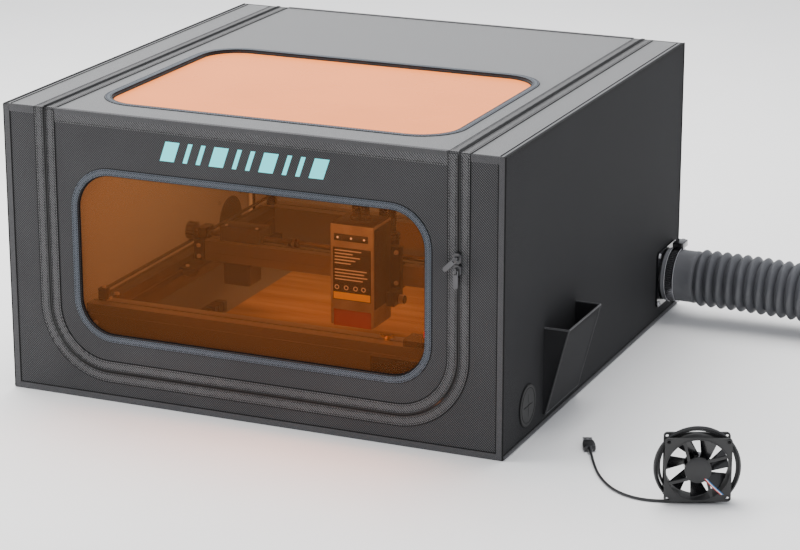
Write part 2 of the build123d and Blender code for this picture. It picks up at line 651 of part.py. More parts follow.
HEAD_WALL = 4.0
with BuildPart() as laser_housing:
    block(HEAD_X, HEAD_Y, HEAD_Z)
    fillet(laser_housing.edges().filter_by(Axis.Z), 1.5)
    block((HEAD_X[0] + HEAD_WALL, HEAD_X[1] - HEAD_WALL), (HEAD_Y[0] + HEAD_WALL, HEAD_Y[1] - HEAD_WALL),
          (HEAD_Z[0], HEAD_Z[0] + 26), mode=Mode.SUBTRACT)
    block((HEAD_X[0] + HEAD_WALL, HEAD_X[1] - HEAD_WALL), (HEAD_Y[0], HEAD_Y[0] + HEAD_WALL),
          (HEAD_Z[0], HEAD_Z[0] + 22), mode=Mode.SUBTRACT)
save(laser_housing, "laser_housing")

SHIELD_GAP = HEAD_WALL + 0.3
SHIELD_X = (HEAD_X[0] + SHIELD_GAP, HEAD_X[1] - SHIELD_GAP)
SHIELD_Y = (HEAD_Y[0] + 1.0, HEAD_Y[1] - SHIELD_GAP)
with BuildPart() as laser_shield:
    block(SHIELD_X, SHIELD_Y, (46, HEAD_Z[0] + 21.5))
    block((SHIELD_X[0] + 2.5, SHIELD_X[1] - 2.5), (SHIELD_Y[0] + 2.5, SHIELD_Y[1] - 2.5),
          (45, HEAD_Z[0] + 22), mode=Mode.SUBTRACT)
save(laser_shield, "laser_shield")

LENS_AT = ((HEAD_X[0] + HEAD_X[1]) / 2, (HEAD_Y[0] + HEAD_Y[1]) / 2)
with BuildPart() as lens_nozzle:
    with BuildSketch(Plane.XY.offset(HEAD_Z[0] + 26)):
        with Locations(LENS_AT):
            Circle(11)
    extrude(amount=-10)
    with BuildSketch(Plane.XY.offset(HEAD_Z[0] + 16)):
        with Locations(LENS_AT):
            Circle(8.5)
    extrude(amount=-13, taper=12)
    with BuildSketch(Plane.XY.offset(HEAD_Z[0])):
        with Locations(LENS_AT):
            Circle(2)
    extrude(amount=8, mode=Mode.SUBTRACT)
save(lens_nozzle, "lens_nozzle")

LOOM_ROUTE_YZ = [(54, 135), (53.6, 175), (54.2, 215), (53.8, 254), (27, 281), (-11, 281), (-38.5, 254),
                 (-38, 222), (-38, 191)]


def loom_route(loom_x):
    """Route of one loom tube from the sleeve, over the beam and down to the housing's top."""
    return [(loom_x, route_y, route_z) for route_y, route_z in LOOM_ROUTE_YZ]


with BuildPart() as cable_loom:
    for loom_x in LOOM_X:
        route = loom_route(loom_x)
        with BuildLine() as loom_line:
            FilletPolyline(*route, radius=bend_radii(route, "cable_loom"))
        with BuildSketch(Plane(origin=loom_line.line @ 0, z_dir=loom_line.line % 0)):
            Circle(LOOM_R)
        sweep(path=loom_line.line)
check_tube(cable_loom, 2 * math.pi * LOOM_R ** 2, loom_line, "cable_loom")
save(cable_loom, "cable_loom")

with BuildPart() as focus_thumbscrew:
    with BuildSketch(Plane.YZ.offset(50.4)):
        with Locations((-19, 79)):
            Circle(2.5)
    extrude(amount=16)
    with BuildSketch(Plane.YZ.offset(66)):
        with Locations((-19, 79)):
            Circle(6)
    extrude(amount=10)
    chamfer(focus_thumbscrew.faces().sort_by(Axis.X)[-1].edges(), 1)
save(focus_thumbscrew, "focus_thumbscrew")

# ---------------------------------------------------------------- exhaust fan and its USB lead
TURN = math.radians(FAN_TURN)
ACROSS = Vector(math.cos(TURN), math.sin(TURN), 0)
FACING = Vector(math.sin(TURN), -math.cos(TURN), 0)
FAN_PLANE = Plane(origin=FAN_AT, x_dir=ACROSS, z_dir=FACING)
FAN_BORE, HUB_R, HALF_DEEP = 38.3, 15.5, FAN_DEEP / 2
FLANGE_DEEP = 4.0

with BuildPart() as fan_frame:
    for start in (-HALF_DEEP, HALF_DEEP - FLANGE_DEEP):
        with BuildSketch(FAN_PLANE.offset(start)):
            RectangleRounded(FAN_SIZE, FAN_SIZE, 4.5)
            Circle(FAN_BORE, mode=Mode.SUBTRACT)
            with GridLocations(FAN_PITCH, FAN_PITCH, 2, 2):
                Circle(SCREW_HOLE, mode=Mode.SUBTRACT)
        extrude(amount=FLANGE_DEEP)
    with BuildSketch(FAN_PLANE.offset(-HALF_DEEP)):
        Circle(FAN_SIZE / 2 - 0.05)
        Circle(FAN_BORE, mode=Mode.SUBTRACT)
    extrude(amount=FAN_DEEP)
    with BuildSketch(FAN_PLANE.offset(HALF_DEEP - 3)):
        Circle(HUB_R + 0.6)
        for strut in range(4):
            with Locations(Rot(0, 0, 90 * strut + 14) * Pos(26, 8)):
                Rectangle(29, 3.6)
        Circle(FAN_BORE + 0.8, mode=Mode.INTERSECT)
    extrude(amount=3)
save(fan_frame, "fan_frame")

BLADES = 7
ROTOR_R = 37.2
with BuildPart() as fan_rotor:
    with BuildSketch(FAN_PLANE.offset(-HALF_DEEP + 1.5)):
        Circle(HUB_R)
    extrude(amount=FAN_DEEP - 3 - 1.5 - 0.6)
    fillet(fan_rotor.faces().sort_by(Axis(FAN_AT, FACING))[0].edges(), 1.5)
    for blade in range(BLADES):
        angle = 2 * math.pi * blade / BLADES
        for radius, sweep_angle, chord, pitch in ((14.0, 0.0, 12.5, 40.0), (36.8, 0.32, 24.0, 27.0)):
            at = angle + sweep_angle
            radial = ACROSS * math.cos(at) + Vector(0, 0, 1) * math.sin(at)
            tangent = Vector(0, 0, 1) * math.cos(at) - ACROSS * math.sin(at)
            origin = Vector(*FAN_AT) - FACING * 1.6 + radial * radius
            with BuildSketch(Plane(origin=origin, x_dir=tangent, z_dir=radial)):
                Rectangle(chord, 1.5, rotation=-pitch)
        loft()
    with BuildSketch(FAN_PLANE.offset(-HALF_DEEP)):
        Circle(ROTOR_R)
    extrude(amount=FAN_DEEP, mode=Mode.INTERSECT)
save(fan_rotor, "fan_rotor")

WIND_IN, WIND_OUT, WIND_HALF = 45.0, 53.5, 5.6
FAN_FLOOR = -FAN_AT[2]
with BuildPart() as fan_cord_winding:
    with BuildSketch(FAN_PLANE.offset(-WIND_HALF)):
        Circle(WIND_OUT)
        with Locations((0, FAN_FLOOR + GAP + WIND_OUT)):
            Rectangle(3 * WIND_OUT, 2 * WIND_OUT, mode=Mode.INTERSECT)
        with BuildSketch(mode=Mode.SUBTRACT):
            Circle(WIND_IN)
            with Locations((0, -FAN_SIZE / 2 - 0.1 + WIND_OUT)):
                Rectangle(3 * WIND_OUT, 2 * WIND_OUT, mode=Mode.INTERSECT)
    extrude(amount=2 * WIND_HALF)
save(fan_cord_winding, "fan_cord_winding")

LEAD_Z = LEAD_R + 0.1
PLUG_Z = 4.2
tail_start = Vector(*FAN_AT) - ACROSS * 27 + FACING * 3.5
TAIL_ROUTE = [
    (tail_start.X, tail_start.Y, LEAD_Z),
    (552, -408, LEAD_Z),
    (513, -394, LEAD_Z),
    (481, -358, LEAD_Z),
    (458, -316, LEAD_Z),
    (443, -284, PLUG_Z),
]
with BuildPart() as fan_cord_tail:
    with BuildLine() as tail_line:
        FilletPolyline(*TAIL_ROUTE, radius=bend_radii(TAIL_ROUTE, "fan_cord_tail"))
    with BuildSketch(Plane(origin=tail_line.line @ 0, z_dir=tail_line.line % 0)):
        Circle(LEAD_R)
    sweep(path=tail_line.line)
check_tube(fan_cord_tail, math.pi * LEAD_R ** 2, tail_line, "fan_cord_tail")
save(fan_cord_tail, "fan_cord_tail")

plug_way = Vector(443 - 458, -284 + 316, 0).normalized()
plug_foot = Vector(443, -284, PLUG_Z)


def plug_plane(along):
    """Plane across the plug at a distance along it from the lead's end."""
    return Plane(origin=plug_foot + plug_way * along, x_dir=plug_way.cross(Vector(0, 0, 1)), z_dir=plug_way)


with BuildPart() as usb_plug:
    with BuildSketch(plug_plane(0)):
        Circle(2.6)
    with BuildSketch(plug_plane(9)):
        Circle(3.4)
    loft()
    with BuildSketch(plug_plane(9)):
        RectangleRounded(15.6, 8, 2.2)
    extrude(amount=23)
    with BuildSketch(plug_plane(32)):
        RectangleRounded(12, 4.5, 0.5)
    extrude(amount=13)
    with BuildSketch(plug_plane(36)):
        with Locations((0, -0.6)):
            Rectangle(11, 1.9)
    extrude(amount=9.1, mode=Mode.SUBTRACT)
save(usb_plug, "usb_plug")
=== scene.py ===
"""Looks of a desktop laser cutter in a zip-up fabric enclosure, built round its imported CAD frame."""
import logging
import math
from dataclasses import dataclass, field
from enum import Enum
from typing import Callable, Optional, Sequence

import bmesh
import bpy
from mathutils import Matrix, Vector


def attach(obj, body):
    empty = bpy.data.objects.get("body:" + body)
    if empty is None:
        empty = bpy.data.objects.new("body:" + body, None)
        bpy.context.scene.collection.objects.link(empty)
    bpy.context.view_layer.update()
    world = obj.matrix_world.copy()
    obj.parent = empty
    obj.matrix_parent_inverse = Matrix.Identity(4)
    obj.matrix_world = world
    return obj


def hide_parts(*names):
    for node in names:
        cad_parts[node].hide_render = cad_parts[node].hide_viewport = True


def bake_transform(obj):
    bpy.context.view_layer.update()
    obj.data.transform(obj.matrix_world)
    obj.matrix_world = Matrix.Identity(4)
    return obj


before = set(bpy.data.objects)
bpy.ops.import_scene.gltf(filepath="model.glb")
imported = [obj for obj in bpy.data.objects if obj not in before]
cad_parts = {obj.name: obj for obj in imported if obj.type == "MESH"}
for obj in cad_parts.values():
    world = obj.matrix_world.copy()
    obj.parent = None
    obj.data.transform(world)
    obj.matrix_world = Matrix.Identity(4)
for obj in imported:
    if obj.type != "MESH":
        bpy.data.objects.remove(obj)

LOG = logging.getLogger("laser_cutter")
MM = 0.001
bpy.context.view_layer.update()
Point2 = tuple[float, float]
Colour = tuple[float, float, float]


# ------------------------------------------------------------------ shader helpers
class Tree:
    """Adds and links nodes in one shader tree."""

    def __init__(self, tree: bpy.types.NodeTree) -> None:
        """Wrap a node tree."""
        self.tree = tree

    def add(self, kind: str, **settings: object) -> bpy.types.Node:
        """Add a node.

        Args:
            kind: The node's type name.
            settings: Attributes to set on the node.

        Returns:
            The new node.
        """
        node = self.tree.nodes.new(kind)
        for name, value in settings.items():
            setattr(node, name, value)
        return node

    def feed(self, socket: bpy.types.NodeSocket, value: object) -> None:
        """Link a socket to another, or set its value.

        Args:
            socket: The input socket.
            value: An output socket, or a number, vector or colour.
        """
        if isinstance(value, bpy.types.NodeSocket):
            self.tree.links.new(value, socket)
        elif isinstance(value, tuple) and len(value) == 3 and socket.type == "RGBA":
            socket.default_value = (*value, 1.0)
        else:
            socket.default_value = value

    def maths(self, operation: str, first: object, second: object = 0.0, clamp: bool = False) -> bpy.types.NodeSocket:
        """Combine two values.

        Args:
            operation: The Math node's operation.
            first: A socket or number.
            second: A socket or number.
            clamp: True to keep the result from 0 to 1.

        Returns:
            The result's socket.
        """
        node = self.add("ShaderNodeMath", operation=operation, use_clamp=clamp)
        self.feed(node.inputs[0], first)
        self.feed(node.inputs[1], second)
        return node.outputs[0]

    def blend(self, factor: object, first: object, second: object) -> bpy.types.NodeSocket:
        """Mix two colours.

        Args:
            factor: 0 for the first colour, 1 for the second.
            first: A colour or socket.
            second: A colour or socket.

        Returns:
            The mixed colour's socket.
        """
        node = self.add("ShaderNodeMix", data_type="RGBA")
        self.feed(node.inputs["Factor"], factor)
        self.feed(node.inputs[6], first)
        self.feed(node.inputs[7], second)
        return node.outputs[2]

    def span(self, value: object, low: float, high: float, to_low: float = 0.0, to_high: float = 1.0):
        """Map a value from one range to another, clamped.

        Args:
            value: The socket to map.
            low: Start of the range read.
            high: End of the range read.
            to_low: Result at the start.
            to_high: Result at the end.

        Returns:
            The mapped value's socket.
        """
        node = self.add("ShaderNodeMapRange")
        for socket, number in zip(node.inputs[:5], (value, low, high, to_low, to_high)):
            self.feed(socket, number)
        return node.outputs[0]

    def noise(self, vector: object, scale: float, detail: float = 2.0, stretch: Colour = (1, 1, 1)):
        """Noise over a stretched space.

        Args:
            vector: The coordinates' socket.
            scale: Cells per metre.
            detail: Octaves.
            stretch: How much each axis is multiplied first.

        Returns:
            The noise value's socket.
        """
        mapping = self.add("ShaderNodeMapping")
        self.feed(mapping.inputs["Vector"], vector)
        mapping.inputs["Scale"].default_value = stretch
        node = self.add("ShaderNodeTexNoise")
        self.feed(node.inputs["Vector"], mapping.outputs[0])
        node.inputs["Scale"].default_value = scale
        node.inputs["Detail"].default_value = detail
        return node.outputs["Fac"]


class Effects:
    """Shared shader effects, each a node group that is built once."""

    groups: dict[str, bpy.types.NodeTree] = {}

    @classmethod
    def _new(cls, name: str, inputs: Sequence[tuple[str, float]], outputs: Sequence[str]) -> tuple[Tree, object, object]:
        """Start a node group.

        Args:
            name: The group's name.
            inputs: Names and default values of its inputs.
            outputs: Names of its outputs.

        Returns:
            The tree helper, the input node and the output node.
        """
        group = bpy.data.node_groups.new(name, "ShaderNodeTree")
        for socket_name, value in inputs:
            socket = group.interface.new_socket(socket_name, in_out="INPUT", socket_type="NodeSocketFloat")
            socket.default_value = value
        for socket_name in outputs:
            group.interface.new_socket(socket_name, in_out="OUTPUT", socket_type="NodeSocketFloat")
        cls.groups[name] = group
        tree = Tree(group)
        return tree, tree.add("NodeGroupInput"), tree.add("NodeGroupOutput")

    @classmethod
    def face_map(cls) -> bpy.types.NodeTree:
        """Coordinates U and V in metres along the face, chosen by the way it faces."""
        if "face_map" in cls.groups:
            return cls.groups["face_map"]
        tree, _, out = cls._new("face_map", (), ("U", "V"))
        source = tree.add("ShaderNodeTexCoord")
        place = tree.add("ShaderNodeSeparateXYZ")
        facing = tree.add("ShaderNodeSeparateXYZ")
        tree.feed(place.inputs[0], source.outputs["Object"])
        tree.feed(facing.inputs[0], source.outputs["Normal"])
        side = tree.maths("GREATER_THAN", tree.maths("ABSOLUTE", facing.outputs[0]), 0.71)
        flat = tree.maths("GREATER_THAN", tree.maths("ABSOLUTE", facing.outputs[2]), 0.71)
        for name, low, high, factor in (("U", 0, 1, side), ("V", 2, 1, flat)):
            mix = tree.add("ShaderNodeMix", data_type="FLOAT")
            tree.feed(mix.inputs["Factor"], factor)
            tree.feed(mix.inputs[2], place.outputs[low])
            tree.feed(mix.inputs[3], place.outputs[high])
            tree.feed(out.inputs[name], mix.outputs[0])
        return cls.groups["face_map"]

    @classmethod
    def twill(cls) -> bpy.types.NodeTree:
        """Diagonal woven threads: Mask is 1 on a raised yarn top, which the cloth paints as highlight, and low between
        yarns, which it paints as shade; Height is for a bump.
        """
        if "twill" in cls.groups:
            return cls.groups["twill"]
        tree, given, out = cls._new("twill", (("Pitch", 0.002), ("Lean", 1.0), ("Cross", 0.4)), ("Mask", "Height"))
        at = tree.add("ShaderNodeGroup", node_tree=cls.face_map())
        turns = tree.maths("DIVIDE", 2 * math.pi, given.outputs["Pitch"])
        lean = tree.maths("MULTIPLY", at.outputs["V"], given.outputs["Lean"])
        along = tree.maths("SINE", tree.maths("MULTIPLY", tree.maths("ADD", at.outputs["U"], lean), turns))
        across = tree.maths("SINE", tree.maths("MULTIPLY", tree.maths("SUBTRACT", at.outputs["U"], lean), turns))
        weft = tree.maths("MULTIPLY", across, given.outputs["Cross"])
        wave = tree.maths("ADD", along, weft)
        source = tree.add("ShaderNodeTexCoord")
        slub = tree.noise(source.outputs["Object"], 700.0, 2.0)
        rough = tree.maths("ADD", wave, tree.maths("MULTIPLY", tree.maths("SUBTRACT", slub, 0.5), 1.6))
        tree.feed(out.inputs["Mask"], tree.span(rough, -0.7, 1.1))
        tree.feed(out.inputs["Height"], wave)
        return cls.groups["twill"]

    @classmethod
    def mottle(cls) -> bpy.types.NodeTree:
        """Slow colour variation and fine grain of a used surface."""
        if "mottle" in cls.groups:
            return cls.groups["mottle"]
        tree, given, out = cls._new("mottle", (("Fine", 900.0),), ("Cloud", "Grain", "Scuff"))
        source = tree.add("ShaderNodeTexCoord")
        tree.feed(out.inputs["Cloud"], tree.noise(source.outputs["Object"], 9.0, 3.0))
        fine = tree.add("ShaderNodeTexNoise")
        tree.feed(fine.inputs["Vector"], source.outputs["Object"])
        tree.feed(fine.inputs["Scale"], given.outputs["Fine"])
        tree.feed(out.inputs["Grain"], fine.outputs["Fac"])
        scuff = tree.noise(source.outputs["Object"], 60.0, 6.0, (1.0, 1.0, 0.25))
        tree.feed(out.inputs["Scuff"], tree.span(scuff, 0.56, 0.74))
        return cls.groups["mottle"]

    @classmethod
    def brushed(cls) -> bpy.types.NodeTree:
        """Fine drawn lines along X or Y for metal, with handling marks."""
        if "brushed" in cls.groups:
            return cls.groups["brushed"]
        tree, given, out = cls._new("brushed", (("Along Y", 0.0),), ("Lines", "Marks"))
        source = tree.add("ShaderNodeTexCoord")
        along_x = tree.noise(source.outputs["Object"], 260.0, 3.0, (0.05, 3.0, 3.0))
        along_y = tree.noise(source.outputs["Object"], 260.0, 3.0, (3.0, 0.05, 3.0))
        mix = tree.add("ShaderNodeMix", data_type="FLOAT")
        tree.feed(mix.inputs["Factor"], given.outputs["Along Y"])
        tree.feed(mix.inputs[2], along_x)
        tree.feed(mix.inputs[3], along_y)
        tree.feed(out.inputs["Lines"], mix.outputs[0])
        tree.feed(out.inputs["Marks"], tree.noise(source.outputs["Object"], 40.0, 4.0))
        return cls.groups["brushed"]


# ------------------------------------------------------------------ finishes
class Finish:
    """A finish that makes its Blender material once."""

    name: str

    def material(self) -> bpy.types.Material:
        """Return the material, building it the first time."""
        known = bpy.data.materials.get(self.name)
        if known is not None:
            return known
        made = bpy.data.materials.new(self.name)
        made.use_nodes = True
        tree = Tree(made.node_tree)
        shader = made.node_tree.nodes["Principled BSDF"]
        self.dress(tree, shader, made.node_tree.nodes["Material Output"])
        return made

    def dress(self, tree: Tree, shader: bpy.types.Node, output: bpy.types.Node) -> None:
        """Fill the material's tree; each finish has its own."""
        raise NotImplementedError

    @staticmethod
    def bump(tree: Tree, shader: bpy.types.Node, height: object, strength: float, distance: float) -> None:
        """Feed the shader's normal from a height.

        Args:
            tree: The material's tree.
            shader: The Principled shader.
            height: The height's socket.
            strength: The Bump node's strength.
            distance: The bump's depth in metres.
        """
        node = tree.add("ShaderNodeBump")
        node.inputs["Strength"].default_value = strength
        node.inputs["Distance"].default_value = distance
        tree.feed(node.inputs["Height"], height)
        tree.feed(shader.inputs["Normal"], node.outputs[0])


@dataclass(frozen=True)
class Cloth(Finish):
    """Woven fabric: base colour as painted shade between the threads, a brighter colour as painted highlight on their
    tops, sheen and a bump from the threads.
    """

    name: str
    base: Colour
    thread_highlight: Colour
    pitch: float = 2.6 * MM
    lean: float = 1.0
    cross: float = 0.4
    roughness: float = 0.72
    sheen: float = 0.25
    depth: float = 0.25 * MM
    specular: float = 0.12

    def dress(self, tree: Tree, shader: bpy.types.Node, output: bpy.types.Node) -> None:
        """Weave the threads, with painted highlight on their tops and painted shade between them, and cloud the colour
        a little.
        """
        weave = tree.add("ShaderNodeGroup", node_tree=Effects.twill())
        weave.inputs["Pitch"].default_value = self.pitch
        weave.inputs["Lean"].default_value = self.lean
        weave.inputs["Cross"].default_value = self.cross
        worn = tree.add("ShaderNodeGroup", node_tree=Effects.mottle())
        # painted light: raised yarn tops take the highlight colour, the gaps between them the base colour as painted
        # shade
        woven = tree.blend(weave.outputs["Mask"], self.base, self.thread_highlight)
        lifted = tuple(min(1.0, 1.35 * part + 0.006) for part in self.base)
        cloud = tree.maths("MULTIPLY", tree.span(worn.outputs["Cloud"], 0.35, 0.75), 0.35)
        tree.feed(shader.inputs["Base Color"], tree.blend(cloud, woven, lifted))
        tree.feed(shader.inputs["Roughness"], tree.span(worn.outputs["Grain"], 0.3, 0.7,
                                                        self.roughness - 0.06, self.roughness + 0.08))
        shader.inputs["Sheen Weight"].default_value = self.sheen
        shader.inputs["Sheen Roughness"].default_value = 0.45
        shader.inputs["Specular IOR Level"].default_value = self.specular
        self.bump(tree, shader, weave.outputs["Height"], 0.55, self.depth)


@dataclass(frozen=True)
class Moulded(Finish):
    """Moulded plastic or rubber with a fine grain and light scuffs."""

    name: str
    base: Colour
    roughness: float = 0.45
    grain: float = 0.05 * MM
    specular: float = 0.5
    coat: float = 0.0
    scuff: float = 0.12

    def dress(self, tree: Tree, shader: bpy.types.Node, output: bpy.types.Node) -> None:
        """Grain the surface and lighten it where it is scuffed."""
        worn = tree.add("ShaderNodeGroup", node_tree=Effects.mottle())
        light = tuple(min(1.0, part * 1.8 + 0.03) for part in self.base)
        touched = tree.maths("MULTIPLY", worn.outputs["Scuff"], self.scuff)
        tree.feed(shader.inputs["Base Color"], tree.blend(touched, self.base, light))
        tree.feed(shader.inputs["Roughness"], tree.span(worn.outputs["Cloud"], 0.3, 0.75,
                                                        self.roughness - 0.06, self.roughness + 0.08))
        shader.inputs["Specular IOR Level"].default_value = self.specular
        shader.inputs["Coat Weight"].default_value = self.coat
        shader.inputs["Coat Roughness"].default_value = 0.12
        self.bump(tree, shader, worn.outputs["Grain"], 0.12, self.grain)


class Drawn(Enum):
    """Which way a metal's fine lines run."""

    ALONG_X = 0.0
    ALONG_Y = 1.0


@dataclass(frozen=True)
class Metal(Finish):
    """Brushed or polished metal."""

    name: str
    base: Colour
    roughness: float = 0.35
    metallic: float = 1.0
    drawn: Drawn = Drawn.ALONG_X
    lines: float = 0.03 * MM

    def dress(self, tree: Tree, shader: bpy.types.Node, output: bpy.types.Node) -> None:
        """Draw the lines and vary the shine."""
        brush = tree.add("ShaderNodeGroup", node_tree=Effects.brushed())
        brush.inputs["Along Y"].default_value = self.drawn.value
        darker = tuple(part * 0.72 for part in self.base)
        marked = tree.span(brush.outputs["Marks"], 0.35, 0.7)
        tree.feed(shader.inputs["Base Color"], tree.blend(marked, darker, self.base))
        tree.feed(shader.inputs["Roughness"], tree.span(brush.outputs["Lines"], 0.3, 0.7,
                                                        self.roughness - 0.08, self.roughness + 0.12))
        shader.inputs["Metallic"].default_value = self.metallic
        self.bump(tree, shader, brush.outputs["Lines"], 0.3, self.lines)


@dataclass(frozen=True)
class Pane(Finish):
    """Tinted clear sheet: coloured light passes straight through, and the surface mirrors a little. Camera rays also
    see a flat skin whose colour and share are partly the sheet's haze and partly painted reflection of the studio
    light.
    """

    name: str
    tint: Colour
    haze_glare_colour: Colour
    haze_glare_share: float = 0.12
    roughness: float = 0.08

    def dress(self, tree: Tree, shader: bpy.types.Node, output: bpy.types.Node) -> None:
        """Mix the tinted see-through shader with a glossy skin."""
        worn = tree.add("ShaderNodeGroup", node_tree=Effects.mottle())
        lighter = tuple(min(1.0, part * 1.12 + 0.02) for part in self.haze_glare_colour)
        tree.feed(shader.inputs["Base Color"], tree.blend(worn.outputs["Cloud"], self.haze_glare_colour, lighter))
        tree.feed(shader.inputs["Roughness"], tree.span(worn.outputs["Cloud"], 0.3, 0.7,
                                                        self.roughness, self.roughness + 0.05))
        shader.inputs["Specular IOR Level"].default_value = 0.2
        through = tree.add("ShaderNodeBsdfTransparent")
        through.inputs["Color"].default_value = (*self.tint, 1.0)
        fresnel = tree.add("ShaderNodeFresnel")
        fresnel.inputs["IOR"].default_value = 1.3
        seen = tree.add("ShaderNodeLightPath")
        # skin share seen by the camera: fresnel plus a fixed part that is partly haze and partly painted reflection;
        # other rays pass almost straight through
        share = tree.maths("ADD", fresnel.outputs[0], self.haze_glare_share, clamp=True)
        share = tree.maths("MULTIPLY", share, tree.span(seen.outputs["Is Camera Ray"], 0.0, 1.0, 0.06, 1.0))
        mix = tree.add("ShaderNodeMixShader")
        tree.feed(mix.inputs["Fac"], share)
        tree.feed(mix.inputs[1], through.outputs[0])
        tree.feed(mix.inputs[2], shader.outputs[0])
        tree.feed(output.inputs["Surface"], mix.outputs[0])


@dataclass(frozen=True)
class Board(Finish):
    """Plywood with long figure and pores, and a burnt pattern of plain arcs."""

    name: str
    pale: Colour
    dark: Colour
    burnt: Colour
    arcs_at: Vector
    arc_pitch: float = 16 * MM

    def dress(self, tree: Tree, shader: bpy.types.Node, output: bpy.types.Node) -> None:
        """Lay the figure, then the arcs on part of the board."""
        source = tree.add("ShaderNodeTexCoord")
        figure = tree.noise(source.outputs["Object"], 26.0, 5.0, (0.18, 2.2, 1.0))
        pores = tree.noise(source.outputs["Object"], 420.0, 2.0, (0.08, 1.0, 1.0))
        wood = tree.blend(tree.span(figure, 0.35, 0.68), self.pale, self.dark)
        wood = tree.blend(tree.span(pores, 0.55, 0.8, 0.0, 0.35), wood, self.dark)
        away = tree.add("ShaderNodeVectorMath", operation="SUBTRACT")
        tree.feed(away.inputs[0], source.outputs["Object"])
        away.inputs[1].default_value = self.arcs_at
        length = tree.add("ShaderNodeVectorMath", operation="LENGTH")
        tree.feed(length.inputs[0], away.outputs[0])
        turns = tree.maths("MULTIPLY", length.outputs["Value"], 2 * math.pi / self.arc_pitch)
        wobble = tree.maths("MULTIPLY", figure, 5.0)
        rings = tree.maths("SINE", tree.maths("ADD", turns, wobble))
        band = tree.maths("MULTIPLY", tree.span(rings, 0.05, 0.3), tree.span(length.outputs["Value"], 0.075, 0.08))
        band = tree.maths("MULTIPLY", band, tree.span(length.outputs["Value"], 0.26, 0.22))
        tree.feed(shader.inputs["Base Color"], tree.blend(band, wood, self.burnt))
        tree.feed(shader.inputs["Roughness"], tree.span(figure, 0.3, 0.7, 0.5, 0.68))
        self.bump(tree, shader, figure, 0.2, 0.2 * MM)


@dataclass(frozen=True)
class Glow(Finish):
    """Small lit lamp with a soft-edged face."""

    name: str
    base: Colour
    strength: float = 3.0

    def dress(self, tree: Tree, shader: bpy.types.Node, output: bpy.types.Node) -> None:
        """Light the face, a little unevenly."""
        worn = tree.add("ShaderNodeGroup", node_tree=Effects.mottle())
        dim = tuple(part * 0.8 for part in self.base)
        tree.feed(shader.inputs["Base Color"], tree.blend(worn.outputs["Cloud"], dim, self.base))
        tree.feed(shader.inputs["Emission Color"], tree.blend(worn.outputs["Cloud"], dim, self.base))
        shader.inputs["Emission Strength"].default_value = self.strength


# each cloth: the first colour is painted shade between the threads, the second painted highlight on their tops
FRONT_CLOTH = Cloth("front_cloth", (0.013, 0.013, 0.014), (0.098, 0.098, 0.101), pitch=3.4 * MM, roughness=0.8,
                    sheen=0.08)
SIDE_CLOTH = Cloth("side_cloth", (0.018, 0.018, 0.019), (0.034, 0.034, 0.036), pitch=1.1 * MM, roughness=0.75,
                   sheen=0.03, depth=0.08 * MM, specular=0.06)
TOP_CLOTH = Cloth("top_cloth", (0.030, 0.030, 0.031), (0.062, 0.062, 0.064), pitch=1.8 * MM, roughness=0.4,
                  sheen=0.6, depth=0.1 * MM, specular=0.5)
TAPE_CLOTH = Cloth("tape_cloth", (0.016, 0.016, 0.017), (0.165, 0.165, 0.168), pitch=3.6 * MM, cross=0.15)
BIND_CLOTH = Cloth("binding_cloth", (0.028, 0.028, 0.030), (0.12, 0.12, 0.124), pitch=2.2 * MM)
TRIM_CLOTH = Cloth("trim_cloth", (0.025, 0.029, 0.035), (0.15, 0.17, 0.20), pitch=2.8 * MM, lean=-1.0, cross=0.5)
CORD_CLOTH = Cloth("piping_cloth", (0.004, 0.004, 0.004), (0.018, 0.018, 0.018), pitch=1.0 * MM, sheen=0.05)
LINING_CLOTH = Cloth("lining_cloth", (0.22, 0.22, 0.23), (0.34, 0.34, 0.35), pitch=1.6 * MM, roughness=0.5,
                     sheen=0.1, depth=0.05 * MM)
BASE_CLOTH = Cloth("base_cloth", (0.11, 0.11, 0.115), (0.17, 0.17, 0.175), pitch=1.6 * MM, roughness=0.6, sheen=0.05)
BLACK_PLASTIC = Moulded("black_plastic", (0.012, 0.012, 0.013), roughness=0.42)
GLOSS_BLACK = Moulded("gloss_black", (0.006, 0.006, 0.007), roughness=0.2, coat=0.4, grain=0.01 * MM)
CHAIN_BLACK = Moulded("chain_black", (0.006, 0.006, 0.006), roughness=0.4)
HOSE_GREY = Moulded("hose_grey", (0.070, 0.072, 0.080), roughness=0.42, grain=0.06 * MM, scuff=0.25)
CUFF_GREY = Moulded("cuff_grey", (0.105, 0.107, 0.116), roughness=0.45, grain=0.05 * MM, scuff=0.2)
PORT_RUBBER = Moulded("port_rubber", (0.028, 0.028, 0.030), roughness=0.62, specular=0.4)
PULL_METAL = Moulded("pull_enamel", (0.062, 0.062, 0.066), roughness=0.36, specular=0.6)
SLIDER_METAL = Moulded("slider_enamel", (0.028, 0.028, 0.030), roughness=0.3, specular=0.6)
FRAME_METAL = Metal("frame_alloy", (0.80, 0.77, 0.73), roughness=0.46, metallic=0.3)
RAIL_METAL = Metal("rail_alloy", (0.16, 0.155, 0.15), roughness=0.4, drawn=Drawn.ALONG_Y)
DARK_METAL = Metal("dark_alloy", (0.055, 0.055, 0.06), roughness=0.4)
HEAD_METAL = Metal("head_alloy", (0.40, 0.38, 0.36), roughness=0.5, metallic=0.6)
STEEL = Metal("bright_steel", (0.72, 0.72, 0.74), roughness=0.22)
SHAFT_STEEL = Metal("shaft_steel", (0.26, 0.26, 0.27), roughness=0.3)
BAND_STEEL = Metal("band_steel", (0.30, 0.30, 0.32), roughness=0.16, drawn=Drawn.ALONG_Y)
BRASS = Metal("brass", (0.80, 0.58, 0.24), roughness=0.25)
AMBER_FRONT = Pane("amber_front", (0.98, 0.70, 0.47), (0.45, 0.20, 0.07), haze_glare_share=0.04)
